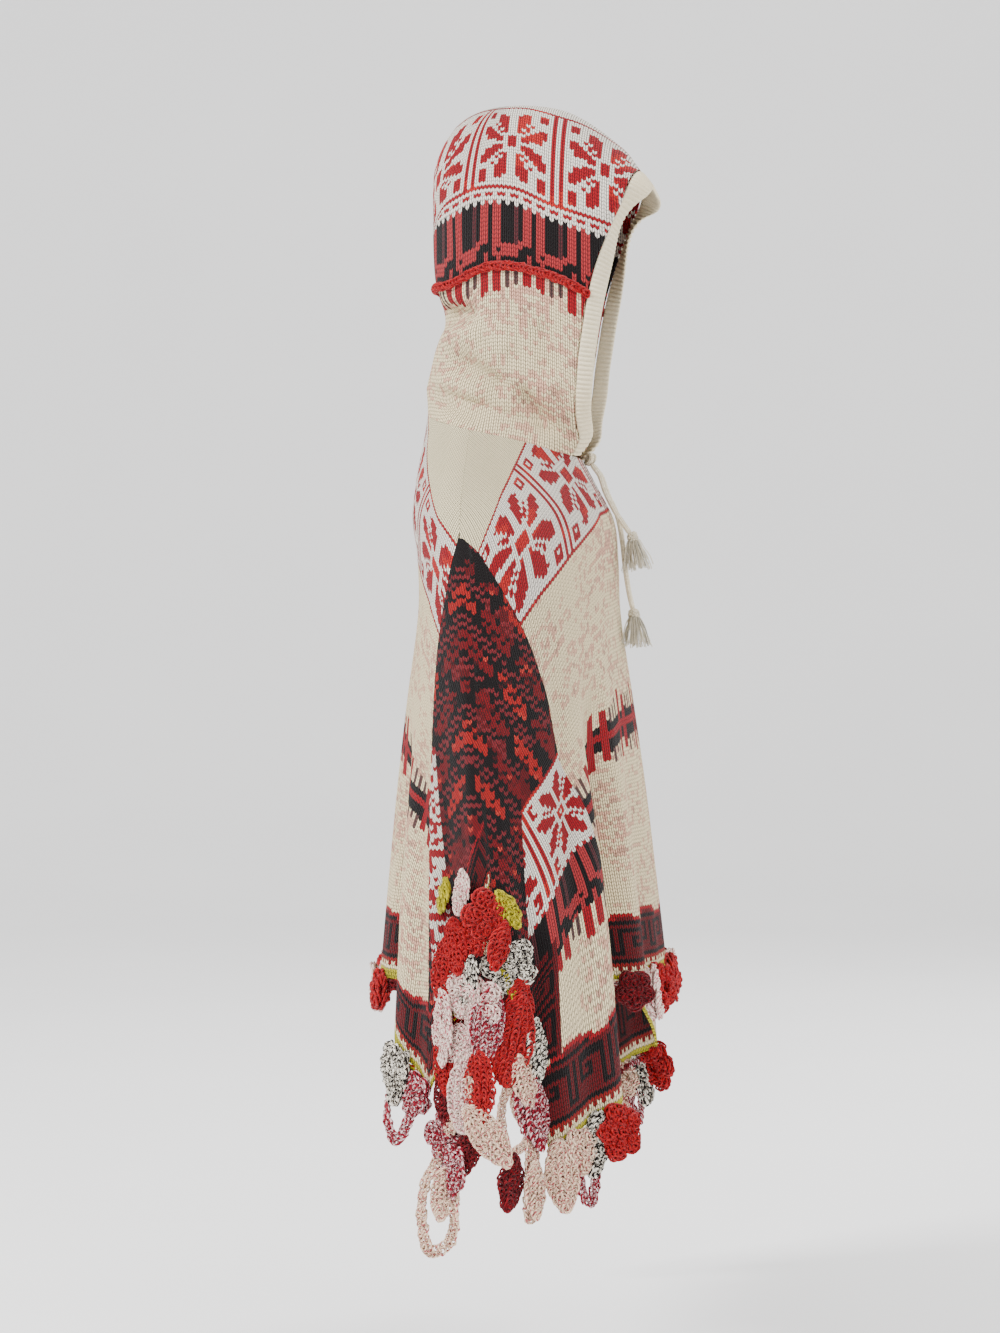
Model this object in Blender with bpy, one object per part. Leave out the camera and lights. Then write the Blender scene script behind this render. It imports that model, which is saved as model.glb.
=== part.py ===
"""Hooded knit poncho with a crocheted garland along its hem, in its worn shape and at life size.

+X is the wearer's front, +Y the wearer's left and +Z up, in metres. The origin is the middle of the neck base,
where the wearer's shoulders carry the garment. The cloth is worked out on one surface: a station runs round the
body from 0 at centre front, over 0.5 at the arm, to 1 at centre back, on the right side (-1) or the left (+1).
"""

import math

import bmesh
import bpy
import numpy as np
from mathutils import Matrix, Vector

NAME = "hooded_crochet_poncho"
RIGHT = -1
LEFT = 1
WALL = 0.0024  # thickness of the knit cloth
SEAM = 0.0003  # gap between pieces that are sewn together
STEP = 0.0005  # step for slopes of the surface

# Body sections: height, foremost and rearmost x, half width, x of the widest point.
SECTIONS = (
    (0.040, 0.048, -0.094, 0.074, -0.040),
    (0.010, 0.056, -0.098, 0.092, -0.039),
    (-0.018, 0.066, -0.102, 0.122, -0.038),
    (-0.045, 0.080, -0.105, 0.155, -0.036),
    (-0.080, 0.097, -0.106, 0.190, -0.034),
    (-0.120, 0.101, -0.099, 0.212, -0.031),
    (-0.175, 0.103, -0.097, 0.226, -0.027),
    (-0.265, 0.116, -0.108, 0.242, -0.020),
    (-0.390, 0.134, -0.122, 0.258, -0.010),
    (-0.540, 0.152, -0.137, 0.276, 0.004),
    (-0.720, 0.170, -0.152, 0.294, 0.012),
)
# Folds: name, station, half width in stations, depth outward, height where it starts, height of full depth.
FOLDS = (
    ("front valley", 0.190, 0.060, -0.046, -0.200, -0.460),
    ("front flap edge", 0.262, 0.045, 0.012, -0.220, -0.450),
    ("front panel trough", 0.085, 0.045, -0.010, -0.180, -0.500),
    ("side front trough", 0.400, 0.045, -0.009, -0.200, -0.560),
    ("side ridge", 0.500, 0.040, 0.007, -0.120, -0.500),
    ("side back trough", 0.585, 0.045, -0.010, -0.180, -0.560),
    ("back flap edge", 0.705, 0.045, 0.009, -0.250, -0.480),
    ("back valley", 0.780, 0.055, -0.030, -0.250, -0.480),
    ("back panel trough", 0.920, 0.050, -0.009, -0.200, -0.500),
)
LEFT_FOLD_DEPTH = 0.85  # the left side's folds are a little shallower
# Neckline: station, height.
NECKLINE = ((0.0, -0.018), (0.2, -0.012), (0.5, 0.008), (0.75, 0.022), (1.0, 0.036))
# Hem: place, station, height. The corners of the cloth hang down on each side of a slit under the arm.
HEM = (
    ("centre front", 0.000, -0.540),
    ("front valley", 0.165, -0.545),
    ("front seam", 0.205, -0.565),
    ("front flap edge", 0.250, -0.655),
    ("front corner", 0.384, -0.692),
    ("slit top", 0.476, -0.441),
    ("back corner", 0.630, -0.640),
    ("back flap edge", 0.710, -0.600),
    ("back valley", 0.770, -0.548),
    ("centre back", 1.000, -0.534),
)
APEX_Z = -0.107  # top of the dark side panel, on the arm ridge
RIDGE = 0.5
# Seams of the side panel below its apex: height, station.
FRONT_SEAM = (
    (-0.107, 0.493), (-0.122, 0.455), (-0.193, 0.363), (-0.254, 0.322), (-0.325, 0.300),
    (-0.365, 0.272), (-0.403, 0.256), (-0.450, 0.235), (-0.565, 0.205),
)
BACK_SEAM = (
    (-0.107, 0.507), (-0.150, 0.560), (-0.206, 0.610), (-0.265, 0.627), (-0.393, 0.636), (-0.640, 0.636),
)
SHOULDER_ROWS = 5
BODY_ROWS = 12
PANEL_COLUMNS = 9  # on each side of the centre
SIDE_COLUMN = 0.030  # stations between columns of the side panel
APEX_MARGIN = 0.003  # from the shoulder's last row to the apex

# Hood rows from the brim over the crown to the nape: x and z on the middle seam, x, z and half width at the face.
HOOD_ROWS = (
    (0.127, 0.283, 0.113, 0.243, 0.066),
    (0.105, 0.310, 0.098, 0.208, 0.074),
    (0.051, 0.346, 0.086, 0.176, 0.079),
    (-0.012, 0.354, 0.078, 0.143, 0.080),
    (-0.060, 0.339, 0.073, 0.112, 0.080),
    (-0.087, 0.295, 0.069, 0.085, 0.079),
    (-0.090, 0.238, 0.067, 0.062, 0.076),
    (-0.088, 0.177, 0.065, 0.044, 0.070),
    (-0.078, 0.132, 0.064, 0.028, 0.062),
    (-0.088, 0.097, 0.065, 0.014, 0.054),
    (-0.097, 0.060, 0.067, 0.003, 0.046),
)
HOOD_STEPS = 11
HOOD_COLUMNS = 2 * PANEL_COLUMNS - 2
HOOD_BULGE = 0.011  # how far the hood stands out between its middle seam and the face
HOOD_TURN_POWER = 1.15  # above 1, the hood turns later from its middle seam to its side
HOOD_SIDE_POWER = 0.90  # below 1, the hood's side is flatter
NECK_BULGE = 0.020  # the folds of loose cloth round the neck
NECK_BULGE_START = 0.55  # share of the way from the brim to the neck
NECK_BULGE_RUN = 0.25
NECK_FRONT_STATION = 1 / PANEL_COLUMNS  # where the hood's front edges end on the neckline

FACE_SAMPLES = 30
BRIM_SAMPLES = 9
BAND_FOOT = 0.985  # share of the way from the brim to the neck where the band ends
BAND_WIDTH = 0.018
BAND_BRIM_EXTRA = 0.009  # added to the width over the brim
BAND_THICK = 0.0030
BAND_GAP = 0.0016  # from the hood's edge
BAND_DROOP = 0.0012  # how far the band's free edge turns in
RIB_PITCH = 0.0060
RIB_DEPTH = 0.0011
EDGE_SMOOTHING = 4  # passes over the band's seam line
TURN_SMOOTHING = 24  # passes over its directions, which round it at the brim's corners

CHAIN_RADIUS = 0.0030
CHAIN_CLEARANCE = 0.0012
CHAIN_POINTS = 17  # on each side
CHAIN_SEARCH = (0.10, 0.98)  # shares of the way from the brim to the neck between which the chain lies
CHAIN_HALVINGS = 30
# Height of the red chain across the hood: x, z.
CHAIN_LINE = ((-0.090, 0.166), (-0.068, 0.162), (-0.020, 0.178), (0.037, 0.168), (0.083, 0.146))

CORD_RADIUS = 0.0027
CORD_POINTS = 18
KNOT_HEIGHT = -0.0185  # where the knot touches the front panel, at its centre
KNOT_RADII = (0.0065, 0.0100, 0.0070)
# Drawstrings: direction in which each leaves the knot, then its route down to its tassel.
CORD_ROUTES = {
    "drawstring_right": (
        (0.45, -0.45, -0.77),
        (
            (0.0850, -0.0090, -0.0330), (0.0910, -0.0115, -0.0500), (0.1010, -0.0105, -0.0700),
            (0.1095, -0.0085, -0.0830), (0.1160, -0.0060, -0.0930),
        ),
    ),
    "drawstring_left": (
        (0.45, 0.45, -0.77),
        (
            (0.0850, 0.0080, -0.0330), (0.0910, 0.0095, -0.0500), (0.1020, 0.0085, -0.0750),
            (0.1070, 0.0070, -0.1000), (0.1105, 0.0055, -0.1300), (0.1145, 0.0040, -0.1550),
            (0.1185, 0.0030, -0.1720),
        ),
    ),
}
CORD_STUB = 0.004  # the cord's first straight stretch, square to the knot
TASSEL_HEAD = 0.0055
TASSEL_LENGTH = 0.031
TASSEL_UNEVEN = 0.12  # share of the length by which strands differ
TASSEL_STRANDS = 8
TASSEL_FLARE = 0.30
TASSEL_ROOT = 0.55  # share of the head's radius at which strands start
STRAND_HALF = 0.0011
STRAND_TIP = 1.3  # how much wider a strand is at its tip
BALL_SEGMENTS = 10
BALL_RINGS = 7

SPINE_RADIUS = 0.0038  # the crocheted edging below the hem
SPINE_STEP = 0.018
SPINE_SAMPLES = 200
SPINE_LIFT = 0.0015
SLIT_SPINE_LIFT = 0.0050
MOTIF_LIFT = 0.0041
MOTIF_THICK = 0.0044
MOTIF_DOME = 0.0016
LAYER_STEP = 0.0014
PETALS = 5
PETAL_REACH = (0.74, 1.0, 0.97)  # the outline's radius at three places on each petal
RING_HOLE = 0.34
LEAF_POINTS = 8
LEAF_WIDTH = 0.46
LEAF_TAPER = 0.25
HEM_CLEARANCE = 0.0024
HEM_OVERLAP = 0.005
MOTIF_CLEARANCE = 0.0022
CLEARANCE_SHARES = (1.0, 0.7, 0.4)  # where on a motif its clearance of the cloth is tested
STITCH_RADIUS = 0.0012
STITCH_REACH = 0.7  # share of the way from the hem to the edging where a stitch bends
LOOP_RADIUS = 0.0042
# Garland motifs that hang from a hem: kind, station, radius or half length, spin in degrees, layer.
HEM_MOTIFS = {
    "front_hem": (
        ("ring", 0.058, 0.025, 10, 0),
        ("flower", 0.000, 0.020, 0, 0),
        ("leaf", 0.100, 0.025, 65, 0),
        ("leaf", 0.122, 0.025, 110, 1),
        ("flower", 0.148, 0.018, 20, 0),
    ),
    "front_flap": (
        ("flower", 0.268, 0.026, 0, 0),
        ("leaf", 0.302, 0.030, 80, 0),
        ("flower", 0.335, 0.021, 15, 0),
        ("leaf", 0.366, 0.034, 95, 0),
    ),
    "back_flap": (
        ("flower", 0.660, 0.020, 0, 0),
        ("leaf", 0.690, 0.024, 80, 1),
        ("ring", 0.710, 0.020, 15, 0),
    ),
    "back_hem": (
        ("flower", 0.835, 0.019, 0, 0),
        ("leaf", 0.885, 0.024, 75, 0),
        ("ring", 0.935, 0.023, 20, 0),
        ("flower", 1.000, 0.021, 0, 0),
    ),
}
# Garland motifs in the slit, some of them over the cloth: kind, station, height, radius or half length,
# spin in degrees, layer.
SLIT_MOTIFS = (
    ("flower", 0.490, -0.470, 0.024, 0, 1),
    ("flower", 0.535, -0.496, 0.024, 30, 0),
    ("flower", 0.452, -0.516, 0.026, 10, 0),
    ("leaf", 0.440, -0.560, 0.030, 85, 0),
    ("flower", 0.547, -0.543, 0.024, 40, 1),
    ("flower", 0.508, -0.552, 0.024, 5, 0),
    ("leaf", 0.470, -0.590, 0.036, 80, 0),
    ("flower", 0.535, -0.595, 0.024, 25, 1),
    ("leaf", 0.584, -0.614, 0.030, 100, 0),
    ("leaf", 0.552, -0.650, 0.034, 60, 0),
    ("leaf", 0.434, -0.645, 0.034, 88, 0),
    ("flower", 0.590, -0.680, 0.026, 0, 0),
    ("leaf", 0.536, -0.690, 0.028, 70, 0),
)
# Hanging chain loops: run, then station and height of each turning point.
LOOPS = (
    ("slit", ((0.600, -0.690), (0.632, -0.735), (0.622, -0.790), (0.590, -0.780), (0.572, -0.740), (0.585, -0.700))),
    ("slit", ((0.425, -0.660), (0.432, -0.710), (0.436, -0.755), (0.425, -0.750), (0.418, -0.690))),
    ("slit", ((0.510, -0.565), (0.530, -0.610), (0.548, -0.645), (0.536, -0.680), (0.560, -0.690), (0.590, -0.680))),
    ("slit", ((0.462, -0.532), (0.478, -0.545), (0.500, -0.555))),
    ("front_flap", ((0.300, -0.715), (0.318, -0.745), (0.335, -0.735), (0.338, -0.708))),
    ("back_flap", ((0.665, -0.658), (0.690, -0.690), (0.715, -0.672), (0.735, -0.630))),
)
# Stations where each run is sewn to the hem.
STITCHES = {
    "front_hem": (0.1139,),
    "front_flap": (0.2835, 0.3505),
    "slit": (0.4147, 0.5080, 0.5720),
    "back_flap": (0.6764,),
    "back_hem": (0.8382,),
}
# Edging of the runs on one side: run, first and last station.
SPINES = (
    ("front_flap", 0.254, 0.372),
    ("slit", 0.400, 0.452),
    ("slit", 0.510, 0.600),
    ("back_flap", 0.645, 0.705),
)
# Edging of the level hems: run, station at the centre, last station.
LEVEL_SPINES = (("front_hem", 0.0, 0.160), ("back_hem", 1.0, 0.810))


def smooth(table, at, column=1):
    """The value of a table's column at a place in its first column, along a smooth curve through its rows."""
    rows = sorted(table)
    where = [row[0] for row in rows]
    value = [row[column] for row in rows]
    i = min(max(int(np.searchsorted(where, at)) - 1, 0), len(rows) - 2)
    slopes = []
    for j in (i, i + 1):
        a, b = max(j - 1, 0), min(j + 1, len(rows) - 1)
        slopes.append((value[b] - value[a]) / (where[b] - where[a]))
    run = where[i + 1] - where[i]
    t = (at - where[i]) / run
    if t < 0 or t > 1:
        edge = 0 if t < 0 else 1
        return value[i + edge] + slopes[edge] * (at - where[i + edge])
    return (
        (2 * t**3 - 3 * t**2 + 1) * value[i] + (t**3 - 2 * t**2 + t) * run * slopes[0]
        + (3 * t**2 - 2 * t**3) * value[i + 1] + (t**3 - t**2) * run * slopes[1]
    )


def linear(table, at, column=1):
    rows = sorted(table)
    return float(np.interp(at, [row[0] for row in rows], [row[column] for row in rows]))


def ease(t):
    t = min(max(t, 0.0), 1.0)
    return t * t * (3 - 2 * t)


def hem_height(station):
    return linear([row[1:] for row in HEM], station)


def cloth(station, height, side):
    """The middle of the cloth's wall."""
    front, back, half_width, widest = (smooth(SECTIONS, height, column) for column in (1, 2, 3, 4))
    turn = station * math.pi
    depth = front - widest if station <= RIDGE else widest - back
    normal = np.array((math.cos(turn) / depth, math.sin(turn) / half_width))
    normal /= np.linalg.norm(normal)
    out = 0.0
    for _, place, half, fold_depth, start, full in FOLDS:
        away = abs(station - place) / half
        if away < 1:
            grown = ease((start - height) / (start - full))
            out += fold_depth * grown * 0.5 * (1 + math.cos(math.pi * away))
    if side == LEFT:
        out *= LEFT_FOLD_DEPTH
    x = widest + depth * math.cos(turn) + out * normal[0]
    y = half_width * math.sin(turn) + out * normal[1]
    return np.array((x, side * y, height))


def cloth_normal(station, height, side):
    """The unit normal that points out of the body."""
    round_it = cloth(station + STEP, height, side) - cloth(station - STEP, height, side)
    up_it = cloth(station, height + STEP, side) - cloth(station, height - STEP, side)
    normal = np.cross(round_it, up_it) * side
    return normal / np.linalg.norm(normal)


def station_speed(station, height, side):
    """Metres of cloth for one whole station."""
    run = cloth(station + STEP, height, side) - cloth(station - STEP, height, side)
    return np.linalg.norm(run) / (2 * STEP)


def seam_station(table, height, toward_front, side):
    """A seam's station for the panel on one side of it, half a seam gap away."""
    station = smooth(table, height) if height <= APEX_Z else RIDGE
    shift = SEAM / 2 / station_speed(station, height, side)
    return station - shift if toward_front else station + shift


def edge_heights(hem_height_there):
    """Row heights along a seam: over the shoulder to the apex, then down to the hem."""
    top = linear(NECKLINE, RIDGE)
    shoulder = list(np.linspace(top, APEX_Z + APEX_MARGIN, SHOULDER_ROWS))
    body = [APEX_Z + (hem_height_there - APEX_Z) * f for f in np.linspace(0, 1, BODY_ROWS + 1)]
    return shoulder + body


def new_collection():
    for obj in list(bpy.data.objects):
        bpy.data.objects.remove(obj)
    collection = bpy.data.collections.new(NAME)
    bpy.context.scene.collection.children.link(collection)
    return collection


def material(name, colour, roughness=0.9):
    made = bpy.data.materials.get(name) or bpy.data.materials.new(name)
    made.use_nodes = True
    shader = made.node_tree.nodes["Principled BSDF"]
    shader.inputs["Base Color"].default_value = (*colour, 1.0)
    shader.inputs["Roughness"].default_value = roughness
    shader.inputs["Metallic"].default_value = 0.0
    return made


def mesh_object(name, points, faces, collection, look):
    """A closed mesh with its faces turned outward."""
    mesh = bpy.data.meshes.new(name)
    mesh.from_pydata([tuple(p) for p in points], [], faces)
    work = bmesh.new()
    work.from_mesh(mesh)
    bmesh.ops.recalc_face_normals(work, faces=work.faces)
    work.to_mesh(mesh)
    work.free()
    obj = bpy.data.objects.new(name, mesh)
    obj.data.materials.append(look)
    collection.objects.link(obj)
    return obj


def wall(name, middle, normals, collection, look, thickness=WALL):
    """A closed wall on a grid of middle points: an outer and an inner skin, and a rim round the edge."""
    rows, columns = len(middle), len(middle[0])
    outer = [middle[r][c] + normals[r][c] * thickness / 2 for r in range(rows) for c in range(columns)]
    inner = [middle[r][c] - normals[r][c] * thickness / 2 for r in range(rows) for c in range(columns)]
    count = rows * columns
    faces = []
    for r in range(rows - 1):
        for c in range(columns - 1):
            a = r * columns + c
            faces.append((a, a + 1, a + columns + 1, a + columns))
            faces.append((a + count, a + columns + count, a + columns + 1 + count, a + 1 + count))
    rim = list(range(columns))
    rim += [r * columns + columns - 1 for r in range(1, rows)]
    rim += [(rows - 1) * columns + c for c in range(columns - 2, -1, -1)]
    rim += [r * columns for r in range(rows - 2, 0, -1)]
    for i, a in enumerate(rim):
        b = rim[(i + 1) % len(rim)]
        low, high = min(a, b), max(a, b)
        faces.append((low, low + count, high + count))
        faces.append((low, high + count, high))
    return mesh_object(name, outer + inner, faces, collection, look)


def body_panel(name, seam, centre, collection, look):
    """The front or back panel: from the seam on the right, over the centre, to the seam on the left."""
    toward_front = centre == 0.0
    corner = seam[-1][1]
    edge_column = edge_heights(hem_height(corner))
    across = [i / PANEL_COLUMNS for i in range(-PANEL_COLUMNS, PANEL_COLUMNS + 1)]
    middle, normals = [], []
    for edge_z in edge_column:
        share = (edge_z - edge_column[0]) / (edge_column[-1] - edge_column[0])
        line, facing = [], []
        for t in across:
            side = RIGHT if t < 0 else LEFT
            top = linear(NECKLINE, centre + (RIDGE - centre) * abs(t))
            bottom = hem_height(centre + (corner - centre) * abs(t))
            height = top + (bottom - top) * share
            station = centre + (seam_station(seam, edge_z, toward_front, side) - centre) * abs(t)
            line.append(cloth(station, height, side))
            facing.append(cloth_normal(station, height, side))
        middle.append(line)
        normals.append(facing)
    return wall(name, middle, normals, collection, look)


def side_panel(name, side, collection, look):
    """The dark panel under the arm: pointed at the top, with a slit that opens it at the hem."""
    first, last = FRONT_SEAM[-1][1], BACK_SEAM[-1][1]
    stops = [first] + [row[1] for row in HEM if first < row[1] < last - SIDE_COLUMN / 2] + [last]
    across = [0.0]
    for a, b in zip(stops, stops[1:]):
        steps = max(2, round((b - a) / SIDE_COLUMN))
        across += [(a + (b - a) * i / steps - first) / (last - first) for i in range(1, steps + 1)]
    middle, normals = [], []
    for f in np.linspace(0, 1, BODY_ROWS + 1):
        line, facing = [], []
        for t in across:
            bottom = hem_height(first + (last - first) * t)
            height = APEX_Z + (bottom - APEX_Z) * f
            front_z = APEX_Z + (hem_height(first) - APEX_Z) * f
            back_z = APEX_Z + (hem_height(last) - APEX_Z) * f
            front = seam_station(FRONT_SEAM, front_z, False, side)
            back = seam_station(BACK_SEAM, back_z, True, side)
            station = front + (back - front) * t
            line.append(cloth(station, height, side))
            facing.append(cloth_normal(station, height, side))
        middle.append(line)
        normals.append(facing)
    return wall(name, middle, normals, collection, look)


def neck_point(t, side):
    """A point of the hood's lower edge: t is 0 at the nape and 1 at the front."""
    station = 1.0 + (NECK_FRONT_STATION - 1.0) * t
    height = linear(NECKLINE, station)
    down = cloth(station, height - STEP, side) - cloth(station, height, side)
    return cloth(station, height, side) - down / np.linalg.norm(down) * SEAM


def hood_point(s, t, side):
    """The middle of the hood's wall: s runs 0 to 1 from the brim to the neck, t from the middle seam to the face."""
    table = [(i / len(HOOD_ROWS), *row) for i, row in enumerate(HOOD_ROWS)]
    last = table[-1][0]
    mx, mz, ex, ez, half = (smooth(table, min(s, last), column) for column in range(1, 6))
    swing = t * math.pi / 2
    forward = 1 - math.cos(swing) ** HOOD_TURN_POWER
    bulge = HOOD_BULGE + NECK_BULGE * ease((s - NECK_BULGE_START) / NECK_BULGE_RUN)
    out = half * math.sin(swing) ** HOOD_SIDE_POWER + bulge * math.sin(math.pi * t)
    formula = np.array((mx + (ex - mx) * forward, side * out, mz + (ez - mz) * forward))
    if s <= last:
        return formula
    return formula + (neck_point(t, side) - formula) * ease((s - last) / (1 - last))


def hood_normal(s, t, side):
    if s >= 1.0:
        station = 1.0 + (NECK_FRONT_STATION - 1.0) * t
        return cloth_normal(station, linear(NECKLINE, station), side)
    s0, s1 = max(s - 0.01, 0.0), min(s + 0.01, 1.0)
    t0, t1 = max(t - 0.01, 0.0), min(t + 0.01, 1.0)
    along = hood_point(s1, t, side) - hood_point(s0, t, side)
    across = hood_point(s, t1, side) - hood_point(s, t0, side)
    normal = np.cross(along, across) * -side
    return normal / np.linalg.norm(normal)


def seam_normal(s, t, side):
    """The hood's normal, held in the middle plane on the middle seam, where the two halves meet."""
    normal = hood_normal(s, t, side)
    if t == 0:
        normal[1] = 0.0
        normal /= np.linalg.norm(normal)
    return normal


def hood_half(name, side, collection, look):
    """Half of the hood, from its middle seam to the face and from the brim to the neck."""
    middle, normals = [], []
    for s in np.linspace(0, 1, HOOD_STEPS + 1):
        line, facing = [], []
        for t in np.linspace(0, 1, HOOD_COLUMNS + 1):
            line.append(hood_point(s, t, side) + np.array((0, side * SEAM / 2, 0)))
            facing.append(seam_normal(s, t, side))
        middle.append(line)
        normals.append(facing)
    return wall(name, middle, normals, collection, look)


def face_edge():
    """Points and normals round the face opening, from the neck on the right over the brim to the neck on the left."""
    up = [(s, 1.0) for s in np.linspace(BAND_FOOT, 0, FACE_SAMPLES)]
    over = [(0.0, t) for t in np.linspace(1, 0, BRIM_SAMPLES)[1:]]
    route = [(s, t, RIGHT) for s, t in up + over] + [(s, t, LEFT) for s, t in (up + over)[-2::-1]]
    points = np.array([hood_point(*place) for place in route])
    normals = np.array([seam_normal(*place) for place in route])
    return points, normals


def resampled(points, values, step):
    """The points, and the values that go with them, evenly spread at about the step given."""
    along = np.concatenate([[0], np.cumsum(np.linalg.norm(np.diff(points, axis=0), axis=1))])
    count = max(2, round(along[-1] / step) + 1)
    at = np.linspace(0, along[-1], count)
    return [np.stack([np.interp(at, along, v[:, k]) for k in range(3)], axis=1) for v in (points, values)]


def softened(values, passes):
    """The values with each blended into its neighbours, the ends held."""
    for _ in range(passes):
        values[1:-1] = (values[:-2] + 2 * values[1:-1] + values[2:]) / 4
    return values


def hood_band(collection, look):
    """The ribbed band round the face: each rib is a raised and a low cross-section."""
    points, normals = resampled(*face_edge(), RIB_PITCH / 2)
    softened(points, EDGE_SMOOTHING)
    softened(normals, TURN_SMOOTHING)
    forwards = softened(np.cross(np.gradient(points, axis=0), normals), TURN_SMOOTHING)
    rings = []
    for i, (point, normal, forward) in enumerate(zip(points, normals, forwards)):
        normal = normal / np.linalg.norm(normal)
        forward = forward / np.linalg.norm(forward)
        share = i / (len(points) - 1)
        width = BAND_WIDTH + BAND_BRIM_EXTRA * math.sin(math.pi * share) ** 4
        rise = RIB_DEPTH if i % 2 else 0.0
        near = point + forward * BAND_GAP
        far = point + forward * width - normal * BAND_DROOP
        outside = normal * (BAND_THICK / 2 + rise)
        inside = normal * BAND_THICK / 2
        rings.append((near - inside, near + outside, far + outside, far - inside))
    faces = []
    for i in range(len(rings) - 1):
        for k in range(4):
            a, b = i * 4 + k, i * 4 + (k + 1) % 4
            faces.append((a, b, b + 4, a + 4))
    faces.append((0, 1, 2, 3))
    faces.append(tuple((len(rings) - 1) * 4 + k for k in range(4)))
    return mesh_object("hood_band", [p for ring in rings for p in ring], faces, collection, look)


def tube(name, points, radius, sides_setting, collection, look):
    """A cord: a curve with a round bevel and filled ends."""
    curve = bpy.data.curves.new(name, "CURVE")
    curve.dimensions = "3D"
    curve.bevel_depth = radius
    curve.bevel_resolution = sides_setting
    curve.use_fill_caps = True
    spline = curve.splines.new("POLY")
    spline.points.add(len(points) - 1)
    for target, point in zip(spline.points, points):
        target.co = (*point, 1.0)
    obj = bpy.data.objects.new(name, curve)
    obj.data.materials.append(look)
    collection.objects.link(obj)
    return obj


def smooth_route(points, count):
    """Evenly spread points of a smooth curve through the route's own points."""
    points = np.array(points, float)
    along = np.concatenate([[0], np.cumsum(np.linalg.norm(np.diff(points, axis=0), axis=1))])
    columns = [[(a, p[k]) for a, p in zip(along, points)] for k in range(3)]
    return [np.array([smooth(c, at) for c in columns]) for at in np.linspace(0, along[-1], count)]


def hood_chain(collection, look):
    """The red chain: where the hood's surface has the chain's height, moved out to lie on the cloth."""
    sides = []
    for side in (RIGHT, LEFT):
        line = []
        for t in np.linspace(0.99, 0.0, CHAIN_POINTS):
            low, high = CHAIN_SEARCH
            for _ in range(CHAIN_HALVINGS):
                s = (low + high) / 2
                point = hood_point(s, t, side)
                if point[2] > smooth(CHAIN_LINE, point[0]):
                    low = s
                else:
                    high = s
            line.append(point + seam_normal(s, t, side) * (WALL / 2 + CHAIN_CLEARANCE + CHAIN_RADIUS))
        sides.append(line)
    route = sides[0] + sides[1][-2::-1]
    return tube("hood_chain", route, CHAIN_RADIUS, 0, collection, look)


def as_mesh(obj):
    """The object's evaluated mesh, with a curve's loose caps welded."""
    graph = bpy.context.evaluated_depsgraph_get()
    mesh = bpy.data.meshes.new_from_object(obj.evaluated_get(graph))
    work = bmesh.new()
    work.from_mesh(mesh)
    bmesh.ops.remove_doubles(work, verts=work.verts, dist=0.00001)
    bmesh.ops.recalc_face_normals(work, faces=work.faces)
    work.to_mesh(mesh)
    work.free()
    return mesh


def united(name, pieces, collection, look):
    """Overlapping pieces made one body, and the pieces removed."""
    total = None
    for piece in pieces:
        mesh = as_mesh(piece)
        fresh = bpy.data.objects.new(name, mesh)
        fresh.matrix_world = piece.matrix_world
        collection.objects.link(fresh)
        bpy.data.objects.remove(piece)
        if total is None:
            total = fresh
            continue
        union = total.modifiers.new("union", "BOOLEAN")
        union.operation = "UNION"
        union.solver = "MANIFOLD"
        union.object = fresh
        bpy.context.view_layer.update()
        joined = as_mesh(total)
        total.modifiers.clear()
        total.data = joined
        bpy.data.objects.remove(fresh)
    total.name = name
    total.data.materials.clear()
    total.data.materials.append(look)
    return total


def ball(name, centre, radii, collection, look):
    work = bmesh.new()
    bmesh.ops.create_uvsphere(work, u_segments=BALL_SEGMENTS, v_segments=BALL_RINGS, radius=1.0)
    mesh = bpy.data.meshes.new(name)
    work.to_mesh(mesh)
    work.free()
    mesh.transform(Matrix.Diagonal((*radii, 1.0)))
    obj = bpy.data.objects.new(name, mesh)
    obj.data.materials.append(look)
    obj.location = centre
    collection.objects.link(obj)
    return obj


def knot_centre():
    """The knot lies on the front panel at the middle of the neckline."""
    normal = cloth_normal(0.0, KNOT_HEIGHT, LEFT) * (1, 0, 1)
    return cloth(0.0, KNOT_HEIGHT, LEFT) + normal * (WALL / 2 + SEAM + KNOT_RADII[0])


def cord_route(direction, route):
    """A drawstring's points, from just off the knot's surface, square to it, down to its free end."""
    radii = np.array(KNOT_RADII)
    direction = np.array(direction) / np.linalg.norm(direction)
    normal = direction / radii
    normal /= np.linalg.norm(normal)
    start = knot_centre() + radii * direction + normal * SEAM
    return smooth_route([start, start + normal * CORD_STUB, *route], CORD_POINTS)


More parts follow.
